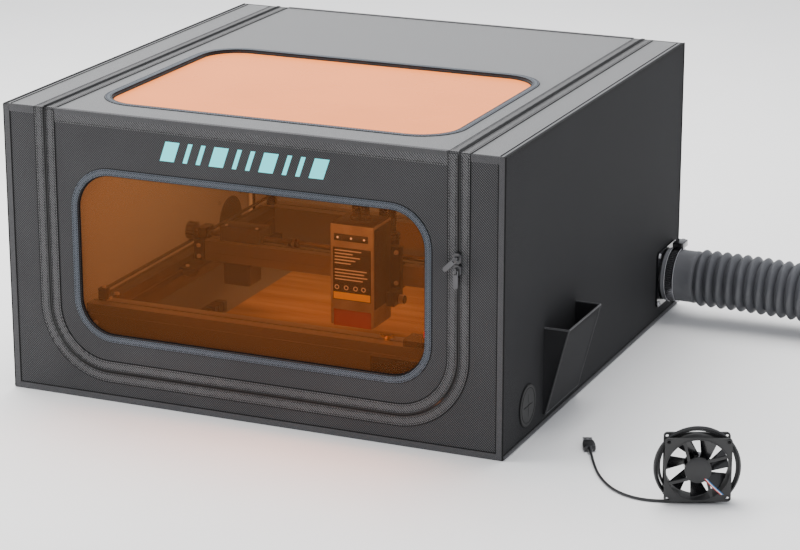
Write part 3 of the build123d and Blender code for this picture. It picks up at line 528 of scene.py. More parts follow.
# the top pane's large skin share is mostly painted reflection of the overhead light on the sheet
AMBER_TOP = Pane("amber_top", (1.0, 0.62, 0.30), (0.86, 0.23, 0.045), haze_glare_share=0.84, roughness=0.25)
MARK_PRINT = Moulded("mark_print", (0.13, 0.92, 0.97), roughness=0.5, grain=0.02 * MM, scuff=0.03)
LABEL_BLACK = Moulded("label_black", (0.01, 0.01, 0.011), roughness=0.35)
LABEL_PALE = Moulded("label_pale", (0.70, 0.68, 0.64), roughness=0.5, grain=0.01 * MM)
LABEL_YELLOW = Moulded("label_yellow", (0.90, 0.60, 0.04), roughness=0.45, grain=0.01 * MM)
STOP_RED = Moulded("stop_red", (0.55, 0.015, 0.012), roughness=0.3, coat=0.3, grain=0.01 * MM)
SHIELD_RED = Moulded("shield_red", (0.030, 0.005, 0.006), roughness=0.18, coat=0.5, grain=0.01 * MM)
WIRE_RED = Moulded("wire_red", (0.50, 0.02, 0.03), roughness=0.4)
WIRE_WHITE = Moulded("wire_white", (0.75, 0.76, 0.78), roughness=0.4)
WIRE_BLUE = Moulded("wire_blue", (0.03, 0.14, 0.36), roughness=0.4)
LEAD_BLACK = Moulded("lead_black", (0.012, 0.012, 0.013), roughness=0.33, specular=0.6, grain=0.02 * MM)
ROD_WHITE = Moulded("rod_fibre", (0.60, 0.60, 0.56), roughness=0.4)
LAMP_WHITE = Glow("lamp_white", (1.0, 0.93, 0.80), 0.6)


# ------------------------------------------------------------------ mesh helpers
@dataclass
class Shape:
    """Vertices and faces of one piece while it is built, in metres."""

    points: list[Vector] = field(default_factory=list)
    faces: list[tuple[int, ...]] = field(default_factory=list)

    def add(self, points: Sequence[Vector], faces: Sequence[Sequence[int]]) -> None:
        """Append vertices and the faces between them.

        Args:
            points: New vertices.
            faces: Faces, counted from the first new vertex.
        """
        first = len(self.points)
        self.points.extend(points)
        self.faces.extend(tuple(first + index for index in face) for face in faces)

    def box(self, low: Sequence[float], high: Sequence[float], bevel: float = 0.0006, steps: int = 2) -> None:
        """Add a box with rounded edges.

        Args:
            low: Lowest corner.
            high: Highest corner.
            bevel: Rounding width.
            steps: Segments of the rounding.
        """
        mesh = bmesh.new()
        bmesh.ops.create_cube(mesh, size=1.0)
        size = [max(top - base, 1e-5) for base, top in zip(low, high)]
        for vert in mesh.verts:
            vert.co = Vector((base + (part + 0.5) * wide for base, part, wide in zip(low, vert.co, size)))
        bmesh.ops.bevel(mesh, geom=mesh.edges[:], offset=min(bevel, min(size) * 0.45), segments=steps,
                        profile=0.5, affect="EDGES")
        self.take(mesh)

    def take(self, mesh: bmesh.types.BMesh) -> None:
        """Append a bmesh and free it.

        Args:
            mesh: The bmesh to take in.
        """
        mesh.verts.index_update()
        self.add([vert.co.copy() for vert in mesh.verts], [[vert.index for vert in face.verts] for face in mesh.faces])
        mesh.free()

    def sweep(self, path: Sequence[Vector], section: Sequence[Point2], up: Vector, closed: bool = False) -> None:
        """Carry a closed section along a path.

        Args:
            path: Points of the path.
            section: Section outline: across the path, then along up.
            up: Direction that the section keeps as its second axis.
            closed: True where the path comes back to its start.
        """
        count = len(section)
        total = len(path)
        points: list[Vector] = []
        for index, at in enumerate(path):
            before = path[index - 1] if index or closed else at
            after = path[(index + 1) % total] if index + 1 < total or closed else at
            side = (after - before).normalized().cross(up).normalized()
            points.extend(at + side * across + up * high for across, high in section)
        faces: list[tuple[int, ...]] = []
        for ring in range(total if closed else total - 1):
            base, following = ring * count, ((ring + 1) % total) * count
            for corner in range(count):
                other = (corner + 1) % count
                faces.append((base + corner, base + other, following + other, following + corner))
        if not closed:
            faces.append(tuple(reversed(range(count))))
            faces.append(tuple(range((total - 1) * count, total * count)))
        self.add(points, faces)

    def tube(self, path: Sequence[Vector], radius: Callable[[float], float], sides: int = 24,
             inner: Optional[Callable[[float], float]] = None) -> None:
        """Carry a circle along a path, with no twist.

        Args:
            path: Points of the path.
            radius: Outer radius at a distance along the path.
            sides: Vertices a ring.
            inner: Inner radius of a hollow tube, or None for a solid one.
        """
        rings: list[list[Vector]] = []
        inner_rings: list[list[Vector]] = []
        ahead = (path[1] - path[0]).normalized()
        side = ahead.orthogonal().normalized()
        done = 0.0
        for index, at in enumerate(path):
            if index:
                done += (at - path[index - 1]).length
            way = (path[min(index + 1, len(path) - 1)] - path[max(index - 1, 0)]).normalized()
            side = (side - way * side.dot(way)).normalized()
            other = way.cross(side)
            turn = [2 * math.pi * step / sides for step in range(sides)]
            rings.append([at + (side * math.cos(a) + other * math.sin(a)) * radius(done) for a in turn])
            if inner is not None:
                inner_rings.append([at + (side * math.cos(a) + other * math.sin(a)) * inner(done) for a in turn])
        loops = rings + inner_rings[::-1]
        points = [point for loop in loops for point in loop]
        faces: list[tuple[int, ...]] = []
        spans = len(loops) if inner is not None else len(loops) - 1
        for ring in range(spans):
            base, following = ring * sides, ((ring + 1) % len(loops)) * sides
            for corner in range(sides):
                other_corner = (corner + 1) % sides
                faces.append((base + corner, base + other_corner, following + other_corner, following + corner))
        if inner is None:
            faces.append(tuple(reversed(range(sides))))
            faces.append(tuple(range((len(loops) - 1) * sides, len(loops) * sides)))
        self.add(points, faces)

    def lathe(self, profile: Sequence[Point2], base: Vector, axis: Vector, sides: int = 32,
              bored: bool = False) -> None:
        """Turn a profile round an axis.

        Args:
            profile: Radius and height of each point, from the base up.
            base: The profile's origin.
            axis: Direction of the height.
            sides: Vertices a ring.
            bored: True for a ring that is open in the middle.
        """
        side = axis.orthogonal().normalized()
        other = axis.cross(side)
        points = [base + axis * high + (side * math.cos(2 * math.pi * step / sides)
                                        + other * math.sin(2 * math.pi * step / sides)) * max(radius, 1e-5)
                  for radius, high in profile for step in range(sides)]
        faces: list[tuple[int, ...]] = []
        for ring in range(len(profile) if bored else len(profile) - 1):
            for corner in range(sides):
                other_corner = (corner + 1) % sides
                low, high = ring * sides, (ring + 1) % len(profile) * sides
                faces.append((low + corner, low + other_corner, high + other_corner, high + corner))
        if not bored:
            faces.append(tuple(reversed(range(sides))))
            faces.append(tuple(range((len(profile) - 1) * sides, len(profile) * sides)))
        self.add(points, faces)

    def prism(self, outline: Sequence[Vector], way: Vector) -> None:
        """Extrude a flat outline.

        Args:
            outline: Points of the outline, in order.
            way: Extrusion vector.
        """
        count = len(outline)
        faces = [tuple(reversed(range(count))), tuple(range(count, 2 * count))]
        faces += [(i, (i + 1) % count, count + (i + 1) % count, count + i) for i in range(count)]
        self.add(list(outline) + [point + way for point in outline], faces)

    def build(self, name: str, finish: Finish, body: str, slot: Optional[str] = None,
              smooth: float = 35.0) -> bpy.types.Object:
        """Make the object, dress it and fix it to a body.

        Args:
            name: The piece's name.
            finish: Its finish.
            body: The CAD body that it moves with, or an empty string for none.
            slot: The record's material slot; not used.
            smooth: Angle in degrees under which edges are shaded smooth.

        Returns:
            The new object.
        """
        mesh = bpy.data.meshes.new(name)
        mesh.from_pydata([tuple(point) for point in self.points], [], self.faces)
        work = bmesh.new()
        work.from_mesh(mesh)
        bmesh.ops.recalc_face_normals(work, faces=work.faces[:])
        work.to_mesh(mesh)
        work.free()
        mesh.materials.append(finish.material())
        made = bpy.data.objects.new(name, mesh)
        bpy.context.scene.collection.objects.link(made)
        mesh.shade_smooth()
        mesh.set_sharp_from_angle(angle=math.radians(smooth))
        if body:
            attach(made, body)
        LOG.info("piece %s: %d faces on %s", name, len(self.faces), body or "the scene")
        return made


def dress(finish: Finish, *nodes: str) -> None:
    """Give CAD nodes a finish.

    Args:
        finish: The finish.
        nodes: The nodes' names.
    """
    for name in nodes:
        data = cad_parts[name].data
        if not data.materials:
            data.materials.append(finish.material())
        for index in range(len(data.materials)):
            data.materials[index] = finish.material()


def arc(centre: Point2, radius: float, start: float, end: float, steps: int) -> list[Point2]:
    """Points of an arc.

    Args:
        centre: The arc's centre.
        radius: Its radius.
        start: First angle in degrees.
        end: Last angle in degrees.
        steps: Number of spans.

    Returns:
        The points, both ends included.
    """
    angles = [math.radians(start + (end - start) * step / steps) for step in range(steps + 1)]
    return [(centre[0] + radius * math.cos(a), centre[1] + radius * math.sin(a)) for a in angles]


def rounded_loop(low: Point2, high: Point2, radius: float, steps: int = 10) -> list[Point2]:
    """Rounded rectangle, anticlockwise from the right side's foot.

    Args:
        low: Lowest corner.
        high: Highest corner.
        radius: Corner radius.
        steps: Spans a corner.

    Returns:
        The loop's points.
    """
    (x0, y0), (x1, y1) = low, high
    points = arc((x1 - radius, y0 + radius), radius, -90, 0, steps)
    points += arc((x1 - radius, y1 - radius), radius, 0, 90, steps)
    points += arc((x0 + radius, y1 - radius), radius, 90, 180, steps)
    return points + arc((x0 + radius, y0 + radius), radius, 180, 270, steps)


def spaced(points: Sequence[Vector], pitch: float) -> list[Vector]:
    """Even points along a path.

    Args:
        points: The path.
        pitch: Distance between the new points.

    Returns:
        The new points, the first one on the path's start.
    """
    made = [points[0].copy()]
    left = pitch
    for before, after in zip(points, points[1:]):
        run = (after - before).length
        way = (after - before) / run if run else Vector()
        at = left
        while at <= run:
            made.append(before + way * at)
            at += pitch
        left = at - run
    return made


def at(x: float, y: float, z: float) -> Vector:
    """A point given in millimetres."""
    return Vector((x, y, z)) * MM


def on_front(points: Sequence[Point2], y: float) -> list[Vector]:
    """Lift X and Z pairs in millimetres onto a plane facing the front."""
    return [at(x, y, z) for x, z in points]


def on_top(points: Sequence[Point2], z: float) -> list[Vector]:
    """Lift X and Y pairs in millimetres onto a level plane."""
    return [at(x, y, z) for x, y in points]


def flat_section(width: float, thick: float) -> list[Point2]:
    """Section of a soft flat strip, in millimetres, as metres."""
    half, soft = width / 2, min(thick, width / 4)
    outline = [(-half, 0.0), (half, 0.0), (half, thick * 0.55), (half - soft * 0.6, thick),
               (-half + soft * 0.6, thick), (-half, thick * 0.55)]
    return [(across * MM, high * MM) for across, high in outline]


def round_section(radius: float, sides: int = 10) -> list[Point2]:
    """Round section in millimetres, as metres, centred on the path."""
    return [(math.cos(2 * math.pi * step / sides) * radius * MM,
             math.sin(2 * math.pi * step / sides) * radius * MM) for step in range(sides)]


FRONT_UP = Vector((0.0, -1.0, 0.0))
TOP_UP = Vector((0.0, 0.0, 1.0))
RIGHT_UP = Vector((1.0, 0.0, 0.0))
LEFT_UP = Vector((-1.0, 0.0, 0.0))
BACK_UP = Vector((0.0, 1.0, 0.0))


def add_stitches(shape: Shape, path: Sequence[Vector], up: Vector, pitch: float = 4.2, long: float = 2.6) -> None:
    """Lay short sewn stitches along a path.

    Args:
        shape: The shape that takes them.
        path: Points of the seam, in metres.
        up: Direction away from the cloth.
        pitch: Stitch spacing in millimetres.
        long: Stitch length in millimetres.
    """
    marks = spaced(path, pitch * MM)
    half, wide, high = long * MM / 2, 0.35 * MM, 0.3 * MM
    for before, after in zip(marks, marks[1:]):
        if (after - before).length < 1e-6:
            continue
        way = (after - before).normalized()
        side = way.cross(up).normalized()
        base = [before - way * half + side * wide, before + way * half + side * wide,
                before + way * half - side * wide, before - way * half - side * wide]
        top = [point + up * high * (0.4 if index in (0, 3) else 1.0) for index, point in enumerate(base)]
        shape.add(base + top, [(0, 1, 2, 3), (7, 6, 5, 4), (0, 4, 5, 1), (1, 5, 6, 2), (2, 6, 7, 3), (3, 7, 4, 0)])


# ------------------------------------------------------------------ enclosure
@dataclass
class Enclosure:
    """Fabric-covered boards with bound edges, piping, fold strips, windows and a printed mark. Sizes in mm."""

    half: float = 350.0
    height: float = 390.0
    binding: float = 8.5
    binding_thick: float = 0.7
    hem: float = 15.0
    piping: float = 1.1
    window_half: float = 245.0
    front_window: tuple[float, float, float] = (91.0, 309.0, 48.0)
    top_window: tuple[float, float, float] = (-290.0, 60.0, 52.0)
    trim: float = 9.0
    mark_heights: tuple[float, float] = (337.0, 363.0)
    mark_start: float = -122.0
    mark_blocks: tuple[float, ...] = (20.0, 6.0, 6.0, 20.0, 6.0, 6.0, 20.0, 6.0, 6.0, 20.0)
    mark_gap: float = 12.6
    mark_lean: float = 9.0

    def boards(self) -> None:
        """Dress the boards."""
        dress(FRONT_CLOTH, "front_border", "front_flap_panel")
        dress(SIDE_CLOTH, "left_wall", "right_wall", "back_wall")
        dress(TOP_CLOTH, "top_side_strips", "top_flap_panel")
        dress(BASE_CLOTH, "floor_panel")
        dress(ROD_WHITE, "support_rods")

    def lining(self) -> None:
        """Line the inner faces with thin pale cloth, one sheet a board."""
        inner, low, high, thick = 345.6, 4.6, 385.2, 0.35
        for name, body, corner, other in (
                ("lining_left", "root", (-inner, -inner, low), (-inner + thick, inner, high)),
                ("lining_right", "root", (inner - thick, -inner, low), (inner, inner, high)),
                ("lining_back", "root", (-335.0, inner - thick, low), (335.0, inner, high))):
            shape = Shape()
            self._sheet(shape, corner, other)
            shape.build(name, LINING_CLOTH, body)

    @staticmethod
    def _sheet(shape: Shape, corner: Sequence[float], other: Sequence[float]) -> None:
        """Add a thin box between two corners given in millimetres."""
        shape.box([value * MM for value in corner], [value * MM for value in other], bevel=0.00012, steps=1)

    def bindings(self) -> None:
        """Bind the front's edges and the right wall's foot."""
        reach, half_tape = self.half - self.binding / 2, 275.0
        section = flat_section(self.binding, self.binding_thick)
        fixed = Shape()
        for side in (-1, 1):
            fixed.sweep(on_front([(side * reach, 0.6), (side * reach, 389.4)], -350.0), section, FRONT_UP)
            ends = sorted((side * 304.6, side * (self.half - self.binding)))
            fixed.sweep(on_front([(ends[0], 385.4), (ends[1], 385.4)], -350.0), section, FRONT_UP)
        fixed.sweep(on_front([(-341.4, 4.6), (341.4, 4.6)], -350.0), section, FRONT_UP)
        fixed.build("front_binding", BIND_CLOTH, "root", "trim_tape")
        door = Shape()
        door.sweep(on_front([(-half_tape, 380.4), (half_tape, 380.4)], -350.0), flat_section(self.hem, 0.7), FRONT_UP)
        door.build("door_hem", TAPE_CLOTH, "front_flap", "trim_tape")
        rope = Shape()
        for side in (-1, 1):
            rope.sweep([at(side * 350.0, -349.0, 2.6), at(side * 350.0, 349.0, 2.6)], round_section(2.4), TOP_UP)
        rope.sweep([at(-348.0, 350.0, 2.6), at(348.0, 350.0, 2.6)], round_section(2.4), TOP_UP)
        rope.build("wall_foot_binding", BIND_CLOTH, "root", "trim_tape")

    def pipings(self) -> None:
        """Run black piping along the seams between the boards."""
        fixed = Shape()
        thin, edge = round_section(0.8, 8), round_section(self.piping, 8)
        inside = self.half - self.binding - 0.4
        for side in (-1, 1):
            fixed.sweep([at(side * 350.0, -350.0, 0.8), at(side * 350.0, -350.0, 389.6)], edge, FRONT_UP)
            fixed.sweep([at(side * 350.0, 350.0, 0.8), at(side * 350.0, 350.0, 389.6)], edge, FRONT_UP)
            fixed.sweep([at(side * 350.0, -349.6, 389.7), at(side * 350.0, 349.6, 389.7)], edge, TOP_UP)
            fixed.sweep([at(side * inside, -350.2, 9.0), at(side * inside, -350.2, 381.0)], thin, FRONT_UP)
            fixed.sweep([at(side * 350.1, -349.0, 6.2), at(side * 350.1, 349.0, 6.2)], thin, TOP_UP)
            fixed.sweep([at(side * 341.6, -345.0, 390.1), at(side * 341.6, 345.0, 390.1)], thin, TOP_UP)
        fixed.sweep([at(-inside, -350.2, 9.2), at(inside, -350.2, 9.2)], thin, FRONT_UP)
        fixed.build("seam_piping", CORD_CLOTH, "root", "trim_tape")
        flap = Shape()
        add_stitches(flap, [at(-274.0, -350.7, 374.6), at(274.0, -350.7, 374.6)], FRONT_UP)
        flap.build("door_hem_stitches", CORD_CLOTH, "front_flap", "trim_tape")

    def folds(self) -> None:
        """Make the curved cloth strips over the folds at the top flap's rear and at the door's top; they are fixed to
        no body.
        """
        steps = 12
        for name, first, second, centre, start, end, around in (
                ("rear_fold", "root", "top_flap", (350.0, 390.0), (0, 350.4, 384.0), (0, 344.0, 390.4), 0.0),
                ("door_fold", "top_flap", "front_flap", (-350.0, 390.0), (0, -344.0, 390.4), (0, -350.4, 384.0), 90.0)):
            shape = Shape()
            outline: list[Point2] = []
            for radius in (0.5, 1.1):
                turn = arc((0.0, 0.0), radius, around, around + 90.0, steps)
                if around:
                    row = [(5.5, radius)] + turn + [(-radius, -5.5)]
                else:
                    row = [(radius, -5.5)] + turn + [(-5.5, radius)]
                outline = outline + row if radius == 0.5 else outline + row[::-1]
            ring = [at(-274.0, centre[0] + y, centre[1] + z) for y, z in outline]
            spans = 60
            points = [point + Vector((548.0 * MM * span / spans, 0.0, 0.0)) for span in range(spans + 1)
                      for point in ring]
            count = len(ring)
            faces = [(span * count + i, span * count + (i + 1) % count, (span + 1) * count + (i + 1) % count,
                      (span + 1) * count + i) for span in range(spans) for i in range(count)]
            faces += [tuple(range(count)), tuple(reversed(range(spans * count, (spans + 1) * count)))]
            shape.add(points, faces)
            made = shape.build(name, BIND_CLOTH, "", "trim_tape")
            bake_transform(made)

    def window(self, name: str, body: str, loop: Callable[[float], list[Vector]], up: Vector, *nodes: str) -> None:
        """Sew a woven trim with dark edges round a window; the dark cords along its inner and outer borders are partly
        the trim's own edge and partly a painted shadow line.

        Args:
            name: The window's name.
            body: The flap that carries it.
            loop: Gives the window outline grown by some millimetres.
            up: Direction away from the flap.
            nodes: CAD nodes that the trim stands for.
        """
        band = Shape()
        band.sweep(loop(self.trim / 2), flat_section(self.trim, 0.9), up, closed=True)
        made = band.build(name + "_trim_band", TRIM_CLOTH, body, "trim_tape")
        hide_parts(*nodes)
        lines = Shape()
        # dark cords at the trim's inner and outer borders: partly its edge, partly painted shadow line
        for grow in (0.1, self.trim):
            lines.sweep(loop(grow), round_section(0.75, 8), up, closed=True)
        lines.sweep([point - up * 4.0 * MM for point in loop(-0.3)], flat_section(3.2, 0.5), up, closed=True)
        lines.build(name + "_trim_lines", CORD_CLOTH, body, "trim_tape")
        seam = Shape()
        for grow in (2.0, self.trim - 2.0):
            path = loop(grow)
            add_stitches(seam, [point + up * 0.85 * MM for point in path + path[:1]], up)
        seam.build(name + "_trim_stitches", CORD_CLOTH, body, "trim_tape")

    def windows(self) -> None:
        """Dress the panes and sew both trims."""
        dress(AMBER_FRONT, "front_window")
        dress(AMBER_TOP, "top_window")
        low, high, radius = self.front_window
        front_edge, rear_edge, top_radius = self.top_window
        wide = self.window_half
        self.window("front_window", "front_flap",
                    lambda grow: on_front(rounded_loop((-wide - grow, low - grow), (wide + grow, high + grow),
                                                       radius + grow), -350.0),
                    FRONT_UP, "front_window_trim")
        self.window("top_window", "top_flap",
                    lambda grow: on_top(rounded_loop((-wide - grow, front_edge - grow),
                                                     (wide + grow, rear_edge + grow), top_radius + grow), 390.0),
                    TOP_UP, "top_window_trim")

    def mark(self) -> None:
        """Print a plain row of slanted blocks on the door, in place of lettering."""
        shape = Shape()
        low, high = self.mark_heights
        x = self.mark_start
        for wide in self.mark_blocks:
            shape.prism(on_front([(x, low), (x + wide, low), (x + wide + self.mark_lean, high),
                                  (x + self.mark_lean, high)], -350.0), Vector((0.0, -0.15 * MM, 0.0)))
            x += wide + self.mark_gap
        shape.build("door_mark", MARK_PRINT, "front_flap")

    def build(self) -> None:
        """Make the whole enclosure."""
        self.boards()
        self.lining()
        self.bindings()
        self.pipings()
        self.folds()
        self.windows()
        self.mark()


@dataclass
class Zipper:
    """The door's zipper: tapes, chain, stitches and two sliders with pull tabs. Sizes in mm."""

    chain_x: float = 289.8
    bottom: float = 41.2
    radius: float = 85.0
    tape: float = 14.0
    tape_thick: float = 0.8
    tooth_pitch: float = 2.2
    sliders: tuple[float, float] = (258.0, 243.0)

    def door_path(self, grow: float, y: float, top: float = 389.4) -> list[Vector]:
        """Path round the door at an offset from the chain, from the left's top to the right's top.

        Args:
            grow: Offset outwards.
            y: Depth of the path.
            top: Height of its ends.

        Returns:
            The points in metres.
        """
        wide, low, radius = self.chain_x + grow, self.bottom - grow, self.radius + grow
        points: list[Point2] = [(-wide, top + (low + radius - top) * step / 12) for step in range(12)]
        points += arc((-wide + radius, low + radius), radius, 180, 270, 18)
        points += [(-wide + radius + 2 * (wide - radius) * step / 16, low) for step in range(1, 16)]
        points += arc((wide - radius, low + radius), radius, 270, 360, 18)
        points += [(wide, low + radius + (top - low - radius) * step / 12) for step in range(1, 13)]
        return on_front(points, y)

    def top_path(self, x: float, z: float, fixed: bool) -> list[Vector]:
        """Straight path along the top; the moving side stops short of the door's fold."""
        front = -349.6 if fixed else -347.2
        return [at(x, 345.4 + (front - 345.4) * step / 30, z) for step in range(31)]

    def tapes(self) -> None:
        """Lay the four tapes, each with a dark cord along its outer edge as a painted shadow line, and its seam."""
        section = flat_section(self.tape, self.tape_thick)
        middle = self.tape / 2 + 0.5
        edge = round_section(0.85, 8)
        for name, body, sign, node in (("fixed", "root", 1, "zipper_fixed_side"), ("door", "front_flap", -1, "zipper_front_side"),
                                       ("top", "top_flap", -1, "zipper_top_side")):
            band, lines, seam = Shape(), Shape(), Shape()
            runs: list[tuple[Callable[[float, float], list[Vector]], Vector]] = []
            if name != "top":
                top = 389.4 if name == "fixed" else 387.8
                runs.append((lambda grow, lift, top=top: self.door_path(grow, -350.0 - lift, top), FRONT_UP))
            if name != "door":
                for side in (-1, 1):
                    runs.append((lambda grow, lift, side=side, fixed=name == "fixed":
                                 self.top_path(side * (self.chain_x + grow), 390.0 + lift, fixed), TOP_UP))
            for run, up in runs:
                band.sweep(run(sign * middle, 0.0), section, up)
                # dark cord along the tape's outer edge: painted shadow line where the raised tape meets the panel
                lines.sweep(run(sign * (self.tape + 0.6), 0.2), edge, up)
                for offset in (4.2, 12.0):
                    add_stitches(seam, run(sign * offset, self.tape_thick), up)
            made = band.build("zipper_tape_" + name, TAPE_CLOTH, body, "trim_tape")
            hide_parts(node)
            lines.build("zipper_tape_shadow_line_" + name, CORD_CLOTH, body, "trim_tape")
            seam.build("zipper_stitches_" + name, CORD_CLOTH, body, "trim_tape")

    def chain(self) -> None:
        """Set the two rows of teeth, with the covering coil's beads over them."""
        for name, body, sign in (("fixed", "root", 1), ("door", "front_flap", -1), ("top", "top_flap", -1)):
            teeth = Shape()
            runs: list[tuple[list[Vector], Vector]] = []
            if name != "top":
                runs.append((self.door_path(sign * 1.35, -350.0, 389.4 if name == "fixed" else 387.8), FRONT_UP))
            if name != "door":
                runs += [(self.top_path(side * (self.chain_x + sign * 1.35), 390.0, name == "fixed"), TOP_UP)
                         for side in (-1, 1)]
            for path, up in runs:
                teeth.sweep(path, flat_section(2.3, 1.3), up)
                marks = spaced(path, self.tooth_pitch * MM)
                for before, after in zip(marks, marks[1:]):
                    self._tooth(teeth, before, (after - before).normalized(), up)
            teeth.build("zipper_teeth_" + name, CHAIN_BLACK, body, "zip_metal")

    @staticmethod
    def _tooth(shape: Shape, middle: Vector, way: Vector, up: Vector) -> None:
        """Add one rounded tooth across the chain."""
        side = way.cross(up).normalized() * 1.25 * MM
        along = way * 0.75 * MM
        low = [middle - side - along, middle + side - along, middle + side + along, middle - side + along]
        top = [point + up * 2.0 * MM + (middle - point) * 0.3 for point in low]
        shape.add(low + top, [(3, 2, 1, 0), (4, 5, 6, 7), (0, 1, 5, 4), (1, 2, 6, 5), (2, 3, 7, 6), (3, 0, 4, 7)])

    def slider_details(self) -> None:
        """Dress the sliders and tabs, and add each slider's side wings."""
        dress(SLIDER_METAL, "zipper_slider_upper", "zipper_slider_lower")
        dress(PULL_METAL, "pull_tab_upper", "pull_tab_lower")
        for body, z in (("slider_upper", self.sliders[0]), ("slider_lower", self.sliders[1])):
            shape = Shape()
            for side in (-1, 1):
                x = self.chain_x + side * 4.7
                shape.box(at(x - 0.7, -356.8, z - 5.0), at(x + 0.7, -351.2, z + 5.0), 0.0005)
            shape.build(body + "_wings", PULL_METAL, body, "zip_metal")

    def build(self) -> None:
        """Make the whole zipper."""
        self.tapes()
        self.chain()
        self.slider_details()


@dataclass
class ToolPocket:
    """Sewn pocket on the right wall, wider at its top. Sizes in mm."""

    y0: float = -208.0
    y1: float = -88.0
    z0: float = 15.0
    z1: float = 132.0
    out_top: float = 34.0
    out_low: float = 4.0
    wall: float = 3.0

    def panel(self, shape: Shape, corners: Sequence[Vector], thick: Vector, bulge: Vector, steps: int = 14) -> None:
        """Add a soft panel between four corners.

        Args:
            shape: The shape that takes it.
            corners: Outer face's corners, in order.
            thick: From the outer face to the inner one.
            bulge: How far the middle stands out.
            steps: Spans each way.
        """
        rows: list[Vector] = []
        for inside in (0, 1):
            for i in range(steps + 1):
                for j in range(steps + 1):
                    u, v = i / steps, j / steps
                    flat = (corners[0] * (1 - u) + corners[1] * u) * (1 - v) + (corners[3] * (1 - u) + corners[2] * u) * v
                    swell = math.sin(math.pi * u) * math.sin(math.pi * v)
                    rows.append(flat + bulge * swell + thick * inside)
        size = steps + 1
        layer = size * size
        faces: list[tuple[int, ...]] = []
        for i in range(steps):
            for j in range(steps):
                a, b, c, d = i * size + j, (i + 1) * size + j, (i + 1) * size + j + 1, i * size + j + 1
                faces += [(a, b, c, d), (layer + d, layer + c, layer + b, layer + a)]
        for k in range(steps):
            for a, b in ((k * size, (k + 1) * size), (k * size + steps, (k + 1) * size + steps), (k, k + 1),
                         (steps * size + k, steps * size + k + 1)):
                faces.append((a, b, layer + b, layer + a))
        shape.add(rows, faces)

    def build(self) -> None:
        """Sew the front, the two gussets and the bound edges."""
        cloth, sides, edges = Shape(), Shape(), Shape()
        low_x, top_x, z1 = 350.0 + self.out_low, 350.0 + self.out_top, self.z1
        front = [at(low_x, self.y0, self.z0), at(low_x, self.y1, self.z0), at(top_x, self.y1, z1),
                 at(top_x, self.y0, z1)]
        self.panel(cloth, front, at(-self.wall * 0.6, 0, 0), at(1.2, 0, 0))
        made = cloth.build("pocket_front", SIDE_CLOTH, "root", "side_fabric")
        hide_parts("tool_pocket")
        for y, inward in ((self.y0, 1), (self.y1, -1)):
            corners = [at(350.0, y, self.z0), at(low_x, y, self.z0), at(top_x, y, z1), at(350.0, y, z1)]
            self.panel(sides, corners, at(0, inward * self.wall * 0.6, 0), at(0, inward * 1.5, 0))
        sides.build("pocket_gussets", POCKET_DARK, "root", "side_fabric")
        rim = [at(350.6, self.y0, z1), at(top_x, self.y0, z1), at(top_x, self.y1, z1), at(350.6, self.y1, z1)]
        for start, end in zip(rim, rim[1:]):
            edges.tube([start, (start + end) / 2, end], lambda _: 1.3 * MM, 10)
        for y in (self.y0, self.y1):
            edges.tube([at(low_x, y, self.z0), at((low_x + top_x) / 2, y, (self.z0 + z1) / 2), at(top_x, y, z1)],
                       lambda _: 0.95 * MM, 10)
        edges.tube([at(low_x - 0.6, self.y0, self.z0), at(low_x - 0.6, 0.5 * (self.y0 + self.y1), self.z0),
                    at(low_x - 0.6, self.y1, self.z0)], lambda _: 0.9 * MM, 10)
        edges.build("pocket_binding", BIND_CLOTH, "root", "trim_tape")
        seam = Shape()
        rise = (at(top_x, 0, z1) - at(low_x, 0, self.z0)).normalized()
        out = Vector((rise.z, 0.0, -rise.x))
        for y in (self.y0 + 3.5, self.y1 - 3.5):
            add_stitches(seam, [at(low_x, y, self.z0 + 3) + out * 0.2 * MM, at(top_x, y, z1 - 3) + out * 0.2 * MM], out)
        add_stitches(seam, [at(top_x - 1.2, self.y0 + 3.5, z1 - 5) + out * 0.3 * MM,
                            at(top_x - 1.2, self.y1 - 3.5, z1 - 5) + out * 0.3 * MM], out)
        seam.build("pocket_stitches", CORD_CLOTH, "root", "trim_tape")


POCKET_DARK = Cloth("pocket_dark", (0.012, 0.012, 0.013), (0.026, 0.026, 0.028), pitch=1.1 * MM, roughness=0.7,
                    sheen=0.1, depth=0.08 * MM)


